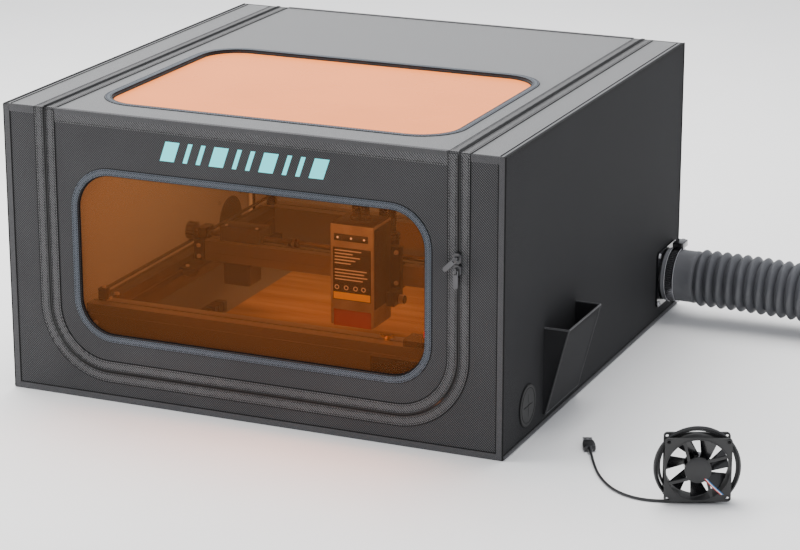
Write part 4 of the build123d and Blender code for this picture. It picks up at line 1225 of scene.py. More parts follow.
@dataclass
class Ports:
    """Rubber cable port on the right wall and the blank cover on the left wall. Sizes in mm."""

    y: float = -266.0
    z: float = 46.0
    radius: float = 27.0
    spare_y: float = 280.0
    spare_z: float = 66.0
    spare_radius: float = 43.0

    def ring(self, x: float, y: float, z: float, radius: float) -> list[Vector]:
        """Circle on a side wall."""
        return [at(x, y + across, z + high) for across, high in arc((0, 0), radius, 0, 360, 64)[:-1]]

    def build(self) -> None:
        """Dress both covers and add their rims."""
        dress(PORT_RUBBER, "cable_port")
        dress(BLACK_PLASTIC, "spare_port_cover")
        rims = Shape()
        rims.sweep(self.ring(350.6, self.y, self.z, self.radius + 0.6), round_section(1.0, 8), RIGHT_UP, closed=True)
        rims.sweep(self.ring(352.0, self.y, self.z, self.radius - 4.0), round_section(0.45, 8), RIGHT_UP, closed=True)
        rims.build("cable_port_rims", CORD_CLOTH, "root", "port_rubber")
        cover = Shape()
        for grow in (-2.0, -12.0, -24.0):
            cover.sweep(self.ring(-351.6, self.spare_y, self.spare_z, self.spare_radius + grow),
                        round_section(0.8, 8), LEFT_UP, closed=True)
        cover.build("spare_cover_ribs", BLACK_PLASTIC, "root", "black_plastic")
        plate, holes = Shape(), Shape()
        plate.lathe([(r * MM, h * MM) for r, h in ((37.5, 0.0), (37.5, 0.8), (36.6, 1.2), (2.0, 1.2))],
                    at(-345.3, self.spare_y, self.spare_z), RIGHT_UP, 64)
        for dy in (-35.75, 35.75):
            for dz in (-35.75, 35.75):
                holes.lathe([(r * MM, h * MM) for r, h in ((2.2, 0.0), (2.8, 0.0), (2.8, 0.3), (2.2, 0.4))],
                            at(-345.3, self.spare_y + dy, self.spare_z + dz), RIGHT_UP, 20, bored=True)
        plate.build("spare_port_inner_plate", BLACK_PLASTIC, "root", "black_plastic")
        holes.build("spare_port_eyelets", LABEL_BLACK, "root", "black_plastic")


# ------------------------------------------------------------------ exhaust
def curve_points(name: str, route: Sequence[Sequence[float]], resolution: int = 24) -> list[Vector]:
    """Points read from an open NURBS spline over a given route.

    Args:
        name: Name of the temporary curve.
        route: Route points in millimetres.
        resolution: Spans a control point.

    Returns:
        The spline's own points, in metres.
    """
    data = bpy.data.curves.new(name, "CURVE")
    data.dimensions = "3D"
    data.resolution_u = resolution
    fill_spline(data, route)
    holder = bpy.data.objects.new(name, data)
    bpy.context.scene.collection.objects.link(holder)
    mesh = bpy.data.meshes.new_from_object(holder.evaluated_get(bpy.context.evaluated_depsgraph_get()))
    points = [vert.co.copy() for vert in mesh.vertices]
    bpy.data.objects.remove(holder)
    bpy.data.meshes.remove(mesh)
    bpy.data.curves.remove(data)
    return points


def fill_spline(data: bpy.types.Curve, route: Sequence[Sequence[float]]) -> None:
    """Put one open NURBS spline over a route into a curve.

    Args:
        data: The curve.
        route: Route points in millimetres.
    """
    spline = data.splines.new("NURBS")
    spline.points.add(len(route) - 1)
    for point, place in zip(spline.points, route):
        point.co = (*(value * MM for value in place), 1.0)
    spline.order_u = 3
    spline.use_endpoint_u = True


def along(points: Sequence[Vector]) -> float:
    """Length of a polyline."""
    return sum((after - before).length for before, after in zip(points, points[1:]))


@dataclass
class Exhaust:
    """Flange, screws, clamp, cuffs and corrugated hose. Sizes in mm."""

    centre: tuple[float, float] = (291.0, 63.0)
    screw_pitch: float = 71.5
    crest: float = 41.0
    valley: float = 33.4
    pitch: float = 15.0
    wall: float = 1.3
    length: float = 0.621
    route: tuple[tuple[float, float, float], ...] = ((402, 291, 63), (560, 291, 63), (720, 287, 41.3),
                                                     (880, 300, 41.3), (1020, 322, 41.3))
    outlet_way: tuple[float, float, float] = (0.98787, 0.15524, 0.0)

    def wave(self, done: float) -> float:
        """Hose radius in metres at a distance along it."""
        place = (done / MM / self.pitch) % 1.0
        away = abs(2.0 * place - 1.0)
        return (self.crest - (self.crest - self.valley) * away ** 1.7) * MM

    def hose(self, outlet: bpy.types.Object) -> None:
        """Sweep the corrugated hose along its route.

        Args:
            outlet: The cuff on its far end; not used.
        """
        points = curve_points("hose_line", self.route)
        path = spaced(points, 1.25 * MM) + [points[-1]]
        shape = Shape()
        shape.tube(path, self.wave, 56, lambda done: self.wave(done) - self.wall * MM)
        made = shape.build("corrugated_hose", HOSE_GREY, "root", "hose_plastic", smooth=50.0)
        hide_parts("exhaust_hose")

    def cuffs(self) -> bpy.types.Object:
        """Turn both plain cuffs.

        Returns:
            The outlet cuff.
        """
        y, z = self.centre
        inlet = Shape()
        profile = [(34.9, 355.0), (37.6, 355.0), (38.2, 356.0), (37.9, 357.5), (37.0, 359.0), (37.0, 394.0),
                   (37.6, 397.0), (37.4, 399.5), (34.4, 402.6), (33.0, 402.6), (34.6, 399.0), (34.8, 356.0)]
        inlet.lathe([(radius * MM, (x - 355.0) * MM) for radius, x in profile], at(355.0, y, z), RIGHT_UP, 64,
                    bored=True)
        made = inlet.build("hose_inlet_cuff_skin", CUFF_GREY, "root", "hose_plastic")
        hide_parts("hose_inlet_cuff")
        outlet = Shape()
        rim = [(34.8, 0.0), (38.6, -0.8), (39.6, 3.0), (39.6, 30.0), (41.0, 32.0), (41.0, 36.8), (40.2, 38.0),
               (35.6, 38.0), (34.8, 37.0)]
        outlet.lathe([(radius * MM, high * MM) for radius, high in rim], at(*self.route[-1]), Vector(self.outlet_way), 64,
                     bored=True)
        far = outlet.build("hose_outlet_cuff_skin", CUFF_GREY, "root", "hose_plastic")
        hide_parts("hose_outlet_cuff")
        return far

    def fixings(self) -> None:
        """Dress the flange and clamp, turn the screw heads and nuts, and mark the heads' cross recesses with painted
        shade.
        """
        dress(GLOSS_BLACK, "duct_flange")
        dress(BAND_STEEL, "hose_clamp")
        y0, z0 = self.centre
        half = self.screw_pitch / 2
        metal, recess = Shape(), Shape()
        for dy in (-half, half):
            for dz in (-half, half):
                centre = at(353.0, y0 + dy, z0 + dz)
                metal.lathe([(r * MM, h * MM) for r, h in ((3.9, 0.0), (3.9, 0.5), (3.5, 1.5), (2.4, 2.2), (0.8, 2.5))],
                            centre, RIGHT_UP, 28)
                metal.lathe([(r * MM, h * MM) for r, h in ((1.9, 0.0), (1.9, 12.0))], centre - at(12.0, 0, 0), RIGHT_UP, 20)
                metal.lathe([(r * MM, h * MM) for r, h in ((3.6, 0.0), (4.0, 0.4), (4.0, 2.8), (3.6, 3.2))],
                            centre - at(10.4, 0, 0), RIGHT_UP, 6)
                # black marks in each screw head: painted shade in the cross recess
                for turn in (35.0, 125.0):
                    way = Vector((0.0, math.cos(math.radians(turn)), math.sin(math.radians(turn))))
                    side = RIGHT_UP.cross(way)
                    slot = [centre + way * a * MM + side * b * MM + RIGHT_UP * 1.6 * MM
                            for a, b in ((-2.1, -0.35), (2.1, -0.35), (2.1, 0.35), (-2.1, 0.35))]
                    recess.prism(slot, RIGHT_UP * 1.0 * MM)
        made = metal.build("flange_screws_and_nuts", STEEL, "root", "bright_steel")
        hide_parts("flange_screws")
        recess.build("flange_screw_recess_shade", BLACK_PLASTIC, "root", "black_plastic")

    def clamp_details(self) -> None:
        """Cover the worm block, fit its screw, edge the band and mark the band's slots with painted shade."""
        y, z = self.centre
        block = Shape()
        block.box(at(359.6, 292.4, 100.2), at(375.4, 317.6, 109.6), 0.0016, 3)
        block.build("clamp_worm_cover", GLOSS_BLACK, "root", "clamp_steel")
        screw = Shape()
        head = ((2.6, 0.0), (3.9, 0.6), (4.0, 4.2), (3.4, 5.0), (1.6, 5.0), (1.6, 3.8))
        screw.lathe([(r * MM, h * MM) for r, h in head], at(367.5, 317.4, 104.9), BACK_UP, 6)
        for x in (361.2, 373.8):
            ring = [at(x, y + across, z + high) for across, high in arc((0, 0), 38.8, 0, 360, 72)[:-1]]
            screw.sweep(ring, round_section(0.45, 8), RIGHT_UP, closed=True)
        # black marks on the band: painted shade in the worm slots
        slots = Shape()
        for step in range(34):
            turn = math.radians(100 + step * 5.0)
            way = Vector((0.0, math.cos(turn), math.sin(turn)))
            side = RIGHT_UP.cross(way)
            centre = at(367.5, y, z) + way * 38.45 * MM
            corners = [centre + RIGHT_UP * a * MM + side * b * MM for a, b in ((-3.6, -0.5), (3.6, 0.2), (3.6, 0.9), (-3.6, 0.2))]
            slots.prism(corners, way * 0.4 * MM)
        slots.build("clamp_band_slot_shade", BLACK_PLASTIC, "root", "black_plastic")
        screw.build("clamp_screw", STEEL, "root", "bright_steel")

    def build(self) -> None:
        """Make the whole exhaust run."""
        self.hose(self.cuffs())
        self.fixings()
        self.clamp_details()


# ------------------------------------------------------------------ engraver
@dataclass
class Engraver:
    """Beams, rails, gantry, belts, motor, cover and small fittings of the engraver. Sizes in mm."""

    belt_x: float = 273.0
    belt_ends: tuple[float, float] = (-240.0, 277.0)
    belt_top: float = 115.2

    def finishes(self) -> None:
        """Dress the CAD pieces that stay."""
        dress(FRAME_METAL, "front_beam", "rear_beam", "gantry_beam")
        dress(RAIL_METAL, "left_rail", "right_rail")
        dress(DARK_METAL, "left_carriage", "right_carriage", "x_motor", "head_carriage", "focus_thumbscrew")
        dress(BLACK_PLASTIC, "frame_feet", "y_cable_chain", "control_box", "drive_cover", "y_wheel_left_front",
              "y_wheel_left_rear", "y_wheel_right_front", "y_wheel_right_rear")
        dress(SHAFT_STEEL, "sync_shaft")
        dress(STOP_RED, "stop_button")
        dress(WORK_WOOD, "work_board")

    def screw(self, shape: Shape, place: Vector, axis: Vector, radius: float = 4.0) -> None:
        """Add a cap screw with a hollow hexagon.

        Args:
            shape: The shape that takes it.
            place: Middle of the seat.
            axis: Direction of the head.
            radius: Head radius in mm.
        """
        profile = ((radius, 0.0), (radius, 0.75 * radius), (radius - 0.4, 0.85 * radius), (0.55 * radius, 0.85 * radius),
                   (0.5 * radius, 0.35 * radius))
        shape.lathe([(r * MM, h * MM) for r, h in profile], place, axis, 24)

    def belts(self) -> None:
        """Lay the toothed belts with their clamps."""
        shape, clamps, bolts = Shape(), Shape(), Shape()
        for side in (-1, 1):
            x = side * self.belt_x
            low, high = self.belt_ends
            shape.box(at(x - 3.0, low, self.belt_top - 1.1), at(x + 3.0, high, self.belt_top), 0.0002, 1)
            count = int((high - low - 14.0) / 3.0)
            for tooth in range(count):
                y = low + 8.0 + tooth * 3.0
                shape.box(at(x - 3.0, y, self.belt_top - 1.8), at(x + 3.0, y + 1.4, self.belt_top - 1.0), 0.0002, 1)
            for y in (low, high):
                clamps.box(at(x - 6.0, y - 6.0, 100.0), at(x + 6.0, y + 6.0, self.belt_top + 1.9), 0.0008)
                self.screw(bolts, at(x, y, self.belt_top + 1.8), TOP_UP, 2.8)
        made = shape.build("toothed_belts", BELT_BLACK, "root", "belt_rubber")
        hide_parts("y_belts")
        clamps.build("belt_clamps", DARK_METAL, "root", "dark_alloy")
        bolts.build("belt_clamp_screws", STEEL, "root", "bright_steel")

    def fittings(self) -> None:
        """Fit the screws, end plates, wing nut, ports and button collar."""
        bright, dark, brass = Shape(), Shape(), Shape()
        for x in (-274.0, 274.0):
            for z in (52.0, 74.0):
                self.screw(bright, at(x, -262.9, z), FRONT_UP, 3.4)
        self.screw(bright, at(-268.0, -234.0, 100.0), TOP_UP, 3.6)
        self.screw(bright, at(-268.0, -214.0, 100.0), TOP_UP, 3.6)
        for side in (-1, 1):
            for y, z in ((2.0, 100.0), (26.0, 100.0)):
                self.screw(bright, at(side * 259.9, y + 3.0, z), Vector((side, 0.0, 0.0)), 2.6)
            dark.box(at(side * 286.1 - 1.2, -262.5, 38.5), at(side * 286.1 + 1.2, -228.5, 99.5), 0.0006)
        brass.lathe([(r * MM, h * MM) for r, h in ((4.2, 0.0), (4.2, 3.0), (3.2, 6.0), (2.0, 6.4))], at(148.0, -246.0, 100.0),
                    TOP_UP, 24)
        for side in (-1, 1):
            wing = [at(148.0 + side * 3.0, -246.0, 101.5), at(148.0 + side * 9.5, -246.0, 105.5),
                    at(148.0 + side * 10.5, -246.0, 109.0), at(148.0 + side * 6.5, -246.0, 108.0),
                    at(148.0 + side * 2.6, -246.0, 105.2)]
            brass.prism([point - at(0, 0.9, 0) for point in wing], at(0, 1.8, 0))
        dark.box(at(132.0, -263.6, 44.0), at(258.0, -262.9, 82.0), 0.0004)
        dark.box(at(240.0, -262.0, 103.0), at(256.0, -260.6, 106.5), 0.0003)
        bright.build("frame_screws", STEEL, "root", "bright_steel")
        dark.build("beam_end_plates", LABEL_BLACK, "root", "dark_alloy")
        brass.build("wing_nut", BRASS, "root", "lens_brass")
        collar = Shape()
        collar.lathe([(r * MM, h * MM) for r, h in ((5.7, 0.1), (11.0, 0.0), (11.0, 1.8), (10.5, 2.4),
                                                     (9.6, 2.4), (9.6, 0.7), (5.7, 0.7))],
                     at(210.0, -248.0, 108.0), TOP_UP, 36, bored=True)
        collar.build("button_collar", BRASS, "root", "lens_brass")
        top = Shape()
        top.lathe([(r * MM, h * MM) for r, h in ((7.2, 0.0), (5.4, 0.7), (2.0, 1.0))], at(210.0, -248.0, 120.6), TOP_UP, 36)
        top.build("button_dome", STOP_RED, "stop_button", "stop_red")

    def gantry_fittings(self) -> None:
        """Fit the gantry's bolts, belt, bearing rings, cover lid and motor details."""
        bright, dark, belt = Shape(), Shape(), Shape()
        for side in (-1, 1):
            for z in (98.0, 114.0):
                self.screw(bright, at(side * 252.0, -2.0, z), FRONT_UP, 3.0)
            for y in (-38.0, 68.0):
                self.screw(bright, at(side * 252.0, y, 92.6), TOP_UP, 2.8)
            ring = ((5.0, 0.0), (8.6, 0.0), (8.6, 1.2), (5.0, 1.2))
            for face, way in ((258.0, 1), (246.0, -1)):
                dark.lathe([(r * MM, h * MM) for r, h in ring], at(side * face, 20.0, 127.5), Vector((side * way, 0, 0)), 32,
                           bored=True)
        dark.box(at(-223.0, 9.0, 141.8), at(-161.0, 41.0, 142.8), 0.0008)
        for x in (-216.0, -168.0):
            self.screw(bright, at(x, 15.0, 142.6), TOP_UP, 2.2)
        belt.box(at(-240.0, 12.8, 119.4), at(240.0, 16.4, 120.2), 0.0002, 1)
        bright.build("gantry_screws", STEEL, "gantry", "bright_steel")
        dark.build("gantry_rings_and_lid", DARK_METAL, "gantry", "dark_alloy")
        belt.build("beam_belt", BELT_BLACK, "gantry", "belt_rubber")
        shaft = Shape()
        for x in (-116.5, -107.5):
            shaft.lathe([(r * MM, h * MM) for r, h in ((5.6, -2.4), (6.3, -2.0), (6.3, 2.0), (5.6, 2.4))],
                        at(x, 20.0, 127.5), RIGHT_UP, 32)
        shaft.build("coupling_rings", DARK_METAL, "sync_shaft", "bright_steel")
        teeth = Shape()
        for side in (-1, 1):
            for step in range(30):
                turn = 2 * math.pi * step / 30
                out = Vector((0.0, math.cos(turn), math.sin(turn)))
                centre = at(side * 273.0, 20.0, 127.5) + out * 12.1 * MM
                across = RIGHT_UP.cross(out) * 0.6 * MM
                corners = [centre - RIGHT_UP * 4.3 * MM - across, centre + RIGHT_UP * 4.3 * MM - across,
                           centre + RIGHT_UP * 4.3 * MM + across, centre - RIGHT_UP * 4.3 * MM + across]
                teeth.prism(corners, out * 0.5 * MM)
        teeth.build("pulley_teeth", SHAFT_STEEL, "sync_shaft", "bright_steel")

    def build(self) -> None:
        """Make the engraver's looks."""
        self.finishes()
        self.belts()
        self.fittings()
        self.gantry_fittings()


WORK_WOOD = Board("work_wood", (0.42, 0.25, 0.11), (0.27, 0.14, 0.055), (0.035, 0.018, 0.009),
                  Vector((0.17, -0.19, 0.01)))
BELT_BLACK = Moulded("belt_black", (0.02, 0.02, 0.021), roughness=0.6)


@dataclass
class LaserHead:
    """Laser module, its label, lamps, shield and the two loom tubes. Sizes in mm."""

    x: tuple[float, float] = (-15.0, 50.0)
    front: float = -68.0
    z: tuple[float, float] = (48.0, 191.0)
    loom_x: tuple[float, float] = (11.0, 24.6)
    loom_route: tuple[Point2, ...] = ((54, 135), (53.6, 175), (54.2, 215), (53.8, 254), (27, 281), (-11, 281),
                                      (-38.5, 254), (-38, 222), (-38, 191))
    loom_radius: float = 6.3
    ridge: float = 3.4

    def housing(self) -> None:
        """Dress the housing and add its cap, label, lamps and side cover."""
        dress(HEAD_METAL, "laser_housing")
        dress(SHIELD_RED, "laser_shield")
        dress(BRASS, "lens_nozzle")
        x0, x1 = self.x
        face = self.front
        dark, fins = Shape(), Shape()
        dark.box(at(-9.0, face - 1.4, 168.5), at(42.0, face + 0.2, 178.5), 0.0008)
        dark.box(at(x1 - 0.2, -66.0, 74.0), at(x1 + 0.9, -11.0, 188.0), 0.0006)
        dark.box(at(x0 + 1.0, -66.5, 190.6), at(x1 - 1.0, -10.0, 192.6), 0.0012)
        dark.build("head_dark_panels", LABEL_BLACK, "laser_module", "black_plastic")
        label = Shape()
        label.box(at(x0 + 4.0, face - 0.5, 84.0), at(x1 - 4.0, face + 0.1, 159.0), 0.0003, 1)
        label.build("head_label", LABEL_BLACK, "laser_module", "black_plastic")
        bars = Shape()
        lengths = (40.0, 27.0, 38.0, 31.0, 24.0, 0.0, 48.0, 44.0, 49.0, 42.0)
        for row, long in enumerate(lengths):
            z = 155.0 - row * 4.6
            if long:
                bars.box(at(x0 + 7.0, face - 0.7, z - 0.8), at(x0 + 7.0 + long, face - 0.3, z + 0.8), 0.0001, 1)
        for x in (x0 + 10.0, x0 + 24.0, x0 + 38.0, x0 + 50.0):
            bars.lathe([(r * MM, h * MM) for r, h in ((3.4, 0.0), (3.4, 0.2), (2.2, 0.2), (2.2, 0.0))],
                       at(x, face - 0.4, 102.0), FRONT_UP, 24, bored=True)
        bars.build("head_label_bars", LABEL_PALE, "laser_module")
        strip = Shape()
        strip.box(at(x0 + 5.0, face - 0.75, 85.0), at(x1 - 5.0, face - 0.3, 95.0), 0.0002, 1)
        strip.build("head_label_strip", LABEL_YELLOW, "laser_module")
        lamps = Shape()
        for x in (-3.0, 17.0, 36.5):
            lamps.lathe([(r * MM, h * MM) for r, h in ((1.5, 0.0), (1.5, 0.4), (0.9, 0.8))], at(x, face - 1.3, 173.5),
                        FRONT_UP, 20)
        lamps.build("head_lamps", LAMP_WHITE, "laser_module")
        for side, x in ((-1, x0), ):
            for row in range(12):
                z = 84.0 + row * 8.0
                fins.box(at(x - 1.4, -62.0, z), at(x + 0.2, -14.0, z + 2.6), 0.0005)
        fins.build("head_side_fins", HEAD_METAL, "laser_module", "frame_alloy")
        collar = Shape()
        for x in self.loom_x:
            collar.lathe([(r * MM, h * MM) for r, h in ((8.6, 0.0), (8.6, 5.0), (7.4, 6.4), (6.4, 6.4))],
                         at(x, -38.0, 192.4), TOP_UP, 28)
        collar.build("loom_collars", BLACK_PLASTIC, "laser_module", "black_plastic")

    def loom(self) -> None:
        """Make the corrugated loom tubes along their bent route; they are fixed to no body."""
        shape = Shape()

        def ribbed(done: float) -> float:
            """Tube radius at a distance along it."""
            place = (done / MM / self.ridge) % 1.0
            return (self.loom_radius - 1.0 * abs(2.0 * place - 1.0) ** 1.5) * MM

        for x in self.loom_x:
            points = curve_points("loom_line", [(x, y, z) for y, z in self.loom_route])
            shape.tube(spaced(points, 0.85 * MM) + [points[-1]], ribbed, 18)
        made = shape.build("loom_tubes", BLACK_PLASTIC, "", "black_plastic", smooth=50.0)
        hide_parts("cable_loom")
        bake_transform(made)

    def carriage(self) -> None:
        """Fit the carriage's screws, the loom sleeve's band and the knob's grip."""
        bright, band = Shape(), Shape()
        for x in (-21.0, 58.0):
            for z in (98.0, 142.0):
                bright.lathe([(r * MM, h * MM) for r, h in ((3.2, 0.0), (3.2, 2.4), (2.8, 2.8), (1.6, 2.8), (1.5, 1.4))],
                             at(x, -8.0, z), FRONT_UP, 24)
        bright.build("carriage_screws", STEEL, "head_carriage", "bright_steel")
        for z in (124.0, 142.0):
            loop = [at(17.8 + x, 54.0 + y, z) for x, y in rounded_loop((-17.2, -10.2), (17.2, 10.2), 10.0, 10)]
            band.sweep(loop, round_section(0.9, 8), TOP_UP, closed=True)
        band.build("sleeve_bands", BLACK_PLASTIC, "head_carriage", "black_plastic")
        grip = Shape()
        for step in range(24):
            turn = 2 * math.pi * step / 24
            out = Vector((0.0, math.cos(turn), math.sin(turn)))
            across = RIGHT_UP.cross(out) * 0.4 * MM
            centre = at(71.0, -19.0, 79.0) + out * 5.9 * MM
            grip.prism([centre - RIGHT_UP * 3.6 * MM - across, centre + RIGHT_UP * 3.6 * MM - across,
                        centre + RIGHT_UP * 3.6 * MM + across, centre - RIGHT_UP * 3.6 * MM + across], out * 0.5 * MM)
        grip.build("knob_grip", STEEL, "focus_thumbscrew", "bright_steel")

    def build(self) -> None:
        """Make the head's looks."""
        self.housing()
        self.loom()
        self.carriage()


# ------------------------------------------------------------------ fan
@dataclass
class Fan:
    """Upright 80 mm fan with its wound lead, wires and USB plug. Sizes in mm."""

    centre: tuple[float, float, float] = (611.0, -380.0, 44.0)
    turn: float = 23.4
    lead_radius: float = 1.75
    turns: int = 3
    lead_length: float = 1.20
    points_a_turn: int = 24
    tail: tuple[tuple[float, float, float], ...] = ((587.6, -393.9, 1.85), (552, -408, 1.85), (513, -394, 1.85),
                                                    (481, -358, 1.85), (458, -316, 1.85), (443, -284, 4.2))
    plug_way: tuple[float, float, float] = (-0.4244, 0.9055, 0.0)

    def place(self, u: float, w: float, v: float) -> Vector:
        """Point from the fan's own axes: across, towards the viewer's side, and up."""
        turn = math.radians(self.turn)
        x = self.centre[0] + u * math.cos(turn) + w * math.sin(turn)
        y = self.centre[1] + u * math.sin(turn) - w * math.cos(turn)
        return at(x, y, self.centre[2] + v)

    @property
    def facing(self) -> Vector:
        """Direction of the strut side."""
        turn = math.radians(self.turn)
        return Vector((math.sin(turn), -math.cos(turn), 0.0))

    def frame_details(self) -> None:
        """Dress the fan, and add the hub cap, screw bosses and rims."""
        dress(BLACK_PLASTIC, "fan_frame")
        dress(GLOSS_BLACK, "fan_rotor")
        extra = Shape()
        extra.lathe([(r * MM, h * MM) for r, h in ((15.2, 0.0), (15.2, 0.25), (14.6, 0.5), (2.0, 0.6))],
                    self.place(0, 12.5, 0), self.facing, 48)
        for u in (-35.75, 35.75):
            for v in (-35.75, 35.75):
                for w in (12.4, -12.9):
                    extra.lathe([(r * MM, h * MM) for r, h in ((2.25, 0.0), (3.9, 0.0), (3.9, 0.35), (3.5, 0.5), (2.3, 0.5))],
                                self.place(u, w, v), self.facing, 24, bored=True)
        extra.build("fan_hub_cap_and_bosses", LABEL_BLACK, "root", "black_plastic")
        rims = Shape()
        for w in (12.55, -12.55):
            loop = [self.place(u, w, v) for u, v in arc((0, 0), 38.9, 0, 360, 72)[:-1]]
            rims.sweep(loop, round_section(0.7, 8), self.facing, closed=True)
        rims.build("fan_bore_rims", BLACK_PLASTIC, "root", "black_plastic")

    def wires(self) -> None:
        """Run the three short wires from the hub over a strut to the corner."""
        for index, (name, finish) in enumerate((("red", WIRE_RED), ("white", WIRE_WHITE), ("blue", WIRE_BLUE))):
            offset = (index - 1) * 1.5
            points = [self.place(9.0 + offset, 12.6, -10.5 - offset * 0.3), self.place(13.5 + offset, 13.6, -15.5),
                      self.place(20.5 + offset, 13.5, -22.5), self.place(27.5 + offset, 12.9, -29.0),
                      self.place(32.0 + offset, 10.5, -34.0), self.place(33.5 + offset, 7.0, -37.0)]
            route = [tuple(point / MM) for point in points]
            shape = Shape()
            shape.tube(curve_points("wire_line", route, 8), lambda _: 0.65 * MM, 10)
            shape.build("fan_wire_" + name, finish, "root", "lead_jacket")

    def lead_route(self) -> list[tuple[float, float, float]]:
        """Route of the lead: its turns round the frame, then the tail to the plug.

        Returns:
            Points in millimetres.
        """
        start, pitch = -45.0, 3.75
        stop = -90.0 - 360.0 * self.turns - 22.0
        steps = int((start - stop) / 360.0 * self.points_a_turn)
        floor = self.lead_radius + 0.15 - self.centre[2]
        route: list[tuple[float, float, float]] = []
        for step in range(steps + 1):
            angle = start + (stop - start) * step / steps
            turn = math.radians(angle)
            done = (-90.0 - angle) / 360.0
            radius = 47.2 + 1.6 * math.sin(2.3 * turn * 0.31 + 0.8) + 1.3 * done
            if step < 3:
                radius = 44.5 + step * 0.9
            u, v = radius * math.cos(turn), radius * math.sin(turn)
            w = -5.6 + pitch * done
            route.append(tuple(self.place(u, w, max(v, floor)) / MM))
        return route + list(self.tail[1:])

    def lead(self) -> None:
        """Wind the lead and lay its tail, with the plug on its end."""
        data = bpy.data.curves.new("fan_lead", "CURVE")
        data.dimensions = "3D"
        data.resolution_u = 6
        route = self.lead_route()
        fill_spline(data, route)
        data.bevel_depth = self.lead_radius * MM
        data.bevel_resolution = 5
        data.use_fill_caps = True
        data.materials.append(LEAD_BLACK.material())
        made = bpy.data.objects.new("fan_lead", data)
        bpy.context.scene.collection.objects.link(made)
        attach(made, "root")
        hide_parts("fan_cord_winding", "fan_cord_tail")
        LOG.info("piece fan_lead: %d route points, %.3f m between them", len(route),
                 along([Vector(point) * MM for point in route]))
        self.plug()

    def plug(self) -> list[bpy.types.Object]:
        """Build the plug: ribbed relief, moulded body and steel shell with two holes.

        Returns:
            The plug's pieces.
        """
        foot, way = at(*self.tail[-1]), Vector(self.plug_way)
        side = TOP_UP.cross(way).normalized()

        def section(wide: float, high: float, radius: float, done: float) -> list[Vector]:
            """Rounded section across the plug, in mm, at a distance along it."""
            loop = rounded_loop((-wide / 2, -high / 2), (wide / 2, high / 2), radius, 5)
            return [foot + way * done * MM + side * across * MM + TOP_UP * up * MM for across, up in loop]

        body = Shape()
        body.lathe([(r * MM, h * MM) for r, h in ((1.8, -1.0), (2.6, 0.0), (2.9, 2.0), (2.5, 2.4), (3.1, 4.0), (2.7, 4.4),
                                                  (3.3, 6.0), (2.9, 6.4), (3.6, 8.0), (3.8, 9.2))], foot, way, 28)
        rows = [section(w, h, r, d) for w, h, r, d in ((11.0, 6.0, 2.9, 8.8), (14.4, 7.4, 3.2, 9.6), (15.6, 8.0, 3.2, 11.0),
                                                       (15.6, 8.0, 3.2, 29.5), (14.6, 7.4, 3.0, 31.6), (12.6, 5.2, 2.0, 32.2))]
        self.skin(body, rows)
        grip = Shape()
        for done in (14.0, 17.0, 20.0, 23.0):
            rows = [section(w, h, 3.2, done + d) for w, h, d in ((15.5, 7.9, 0.0), (16.1, 8.35, 0.4), (16.1, 8.35, 1.0), (15.5, 7.9, 1.4))]
            self.skin(grip, rows)
        shell = Shape()
        rows = [section(w, h, 0.6, d) for w, h, d in ((12.0, 4.5, 31.8), (12.0, 4.5, 44.6), (11.7, 4.2, 45.0), (11.2, 3.7, 45.0),
                                                      (11.2, 3.7, 40.0))]
        self.skin(shell, rows)
        tongue = Shape()
        tongue_rows = [section(w, h, 0.3, d) for w, h, d in ((10.6, 1.6, 36.0), (10.6, 1.6, 44.2), (10.2, 1.2, 44.5))]
        self.skin(tongue, tongue_rows)
        for across in (-2.9, 2.9):
            centre = foot + way * 38.5 * MM + side * across * MM + TOP_UP * 2.2 * MM
            corners = [centre + way * a * MM + side * b * MM for a, b in ((-1.1, -1.1), (1.1, -1.1), (1.1, 1.1), (-1.1, 1.1))]
            tongue.prism(corners, TOP_UP * 0.12 * MM)
        made = [body.build("usb_plug_body", LEAD_BLACK, "root", "lead_jacket"),
                grip.build("usb_plug_grip", BLACK_PLASTIC, "root", "lead_jacket"),
                shell.build("usb_plug_shell", STEEL, "root", "plug_steel"),
                tongue.build("usb_plug_tongue", BLACK_PLASTIC, "root", "black_plastic")]
        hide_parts("usb_plug")
        return made

    @staticmethod
    def skin(shape: Shape, rows: Sequence[Sequence[Vector]]) -> None:
        """Join a row of equal loops and close both ends.

        Args:
            shape: The shape that takes the skin.
            rows: The loops, in order.
        """
        count = len(rows[0])
        faces = [(ring * count + i, ring * count + (i + 1) % count, (ring + 1) * count + (i + 1) % count,
                  (ring + 1) * count + i) for ring in range(len(rows) - 1) for i in range(count)]
        faces += [tuple(reversed(range(count))), tuple(range((len(rows) - 1) * count, len(rows) * count))]
        shape.add([point for row in rows for point in row], faces)

    def build(self) -> None:
        """Make the fan's looks."""
        self.frame_details()
        self.wires()
        self.lead()


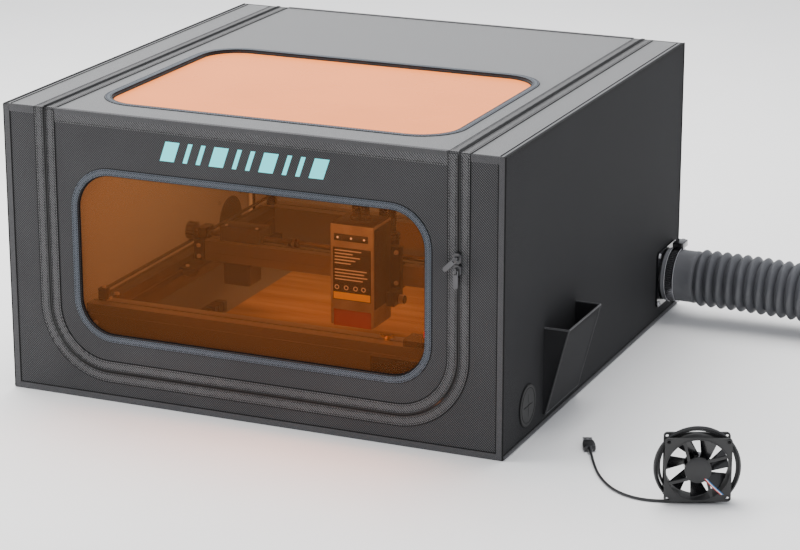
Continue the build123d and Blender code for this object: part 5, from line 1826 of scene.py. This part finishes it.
# ------------------------------------------------------------------ studio
@dataclass
class Studio:
    """Pale floor, soft lights and the camera. Distances in metres."""

    eye: tuple[float, float, float] = (1.49752, -3.31784, 1.23069)
    aim: tuple[float, float, float] = (0.0597, 0.0, 0.1072)
    lens: float = 123.0
    floor_size: float = 14.0

    def camera(self) -> None:
        """Place the camera."""
        data = bpy.data.cameras.new("camera")
        data.lens = self.lens
        data.sensor_width = 36.0
        made = bpy.data.objects.new("camera", data)
        made.location = self.eye
        made.rotation_euler = (Vector(self.aim) - Vector(self.eye)).to_track_quat("-Z", "Y").to_euler()
        bpy.context.scene.collection.objects.link(made)
        bpy.context.scene.camera = made

    def floor(self) -> None:
        """Lay the pale floor."""
        shape = Shape()
        half = self.floor_size / 2
        shape.add([Vector((-half, -half, -0.0002)), Vector((half, -half, -0.0002)), Vector((half, half, -0.0002)),
                   Vector((-half, half, -0.0002))], [(0, 1, 2, 3)])
        made = shape.build("studio_floor", FLOOR_PALE, "")

    def light(self, name: str, place: Colour, size: float, power: float, colour: Colour,
              aim: Colour = (0.1, 0.0, 0.2)) -> None:
        """Hang one soft light, itself unseen.

        Args:
            name: The light's name.
            place: Where it hangs.
            size: Width of its square face.
            power: Power in watts.
            colour: Light colour.
            aim: Point that it looks at.
        """
        data = bpy.data.lights.new(name, "AREA")
        data.shape = "SQUARE"
        data.size = size
        data.energy = power
        data.color = colour
        made = bpy.data.objects.new(name, data)
        made.location = place
        made.rotation_euler = (Vector(aim) - Vector(place)).to_track_quat("-Z", "Y").to_euler()
        made.visible_camera = False
        made.visible_glossy = False
        bpy.context.scene.collection.objects.link(made)

    def build(self) -> None:
        """Set up the camera, floor, lights and surroundings."""
        self.camera()
        self.floor()
        self.light("overhead", (-0.5, 0.6, 2.6), 2.6, 175.0, (1.0, 0.99, 0.97))
        self.light("front_left", (-1.75, -1.1, 0.8), 0.9, 30.0, (1.0, 0.99, 0.98))
        self.light("work_light", (-0.05, 0.05, 0.37), 0.42, 1.5, (1.0, 0.88, 0.74), (-0.05, 0.05, 0.0))
        self.light("door_light", (0.12, -0.303, 0.35), 0.08, 0.45, (1.0, 0.88, 0.74), (0.12, -0.29, 0.0))
        world = bpy.data.worlds.new("surroundings")
        bpy.context.scene.world = world
        world.use_nodes = True
        sky = world.node_tree.nodes["Background"]
        sky.inputs["Color"].default_value = (0.93, 0.95, 1.0, 1.0)
        sky.inputs["Strength"].default_value = 0.9


FLOOR_PALE = Moulded("floor_pale", (0.93, 0.93, 0.93), roughness=0.6, grain=0.02 * MM, scuff=0.02)


def main() -> None:
    """Build every sub-assembly in order."""
    logging.basicConfig(level=logging.INFO, format="%(message)s")
    Studio().build()
    for part in (Fan(), Exhaust(), Enclosure(), Zipper(), ToolPocket(), Ports(), Engraver(), LaserHead()):
        LOG.info("building %s", type(part).__name__)
        part.build()


if __name__ == "__main__":
    main()
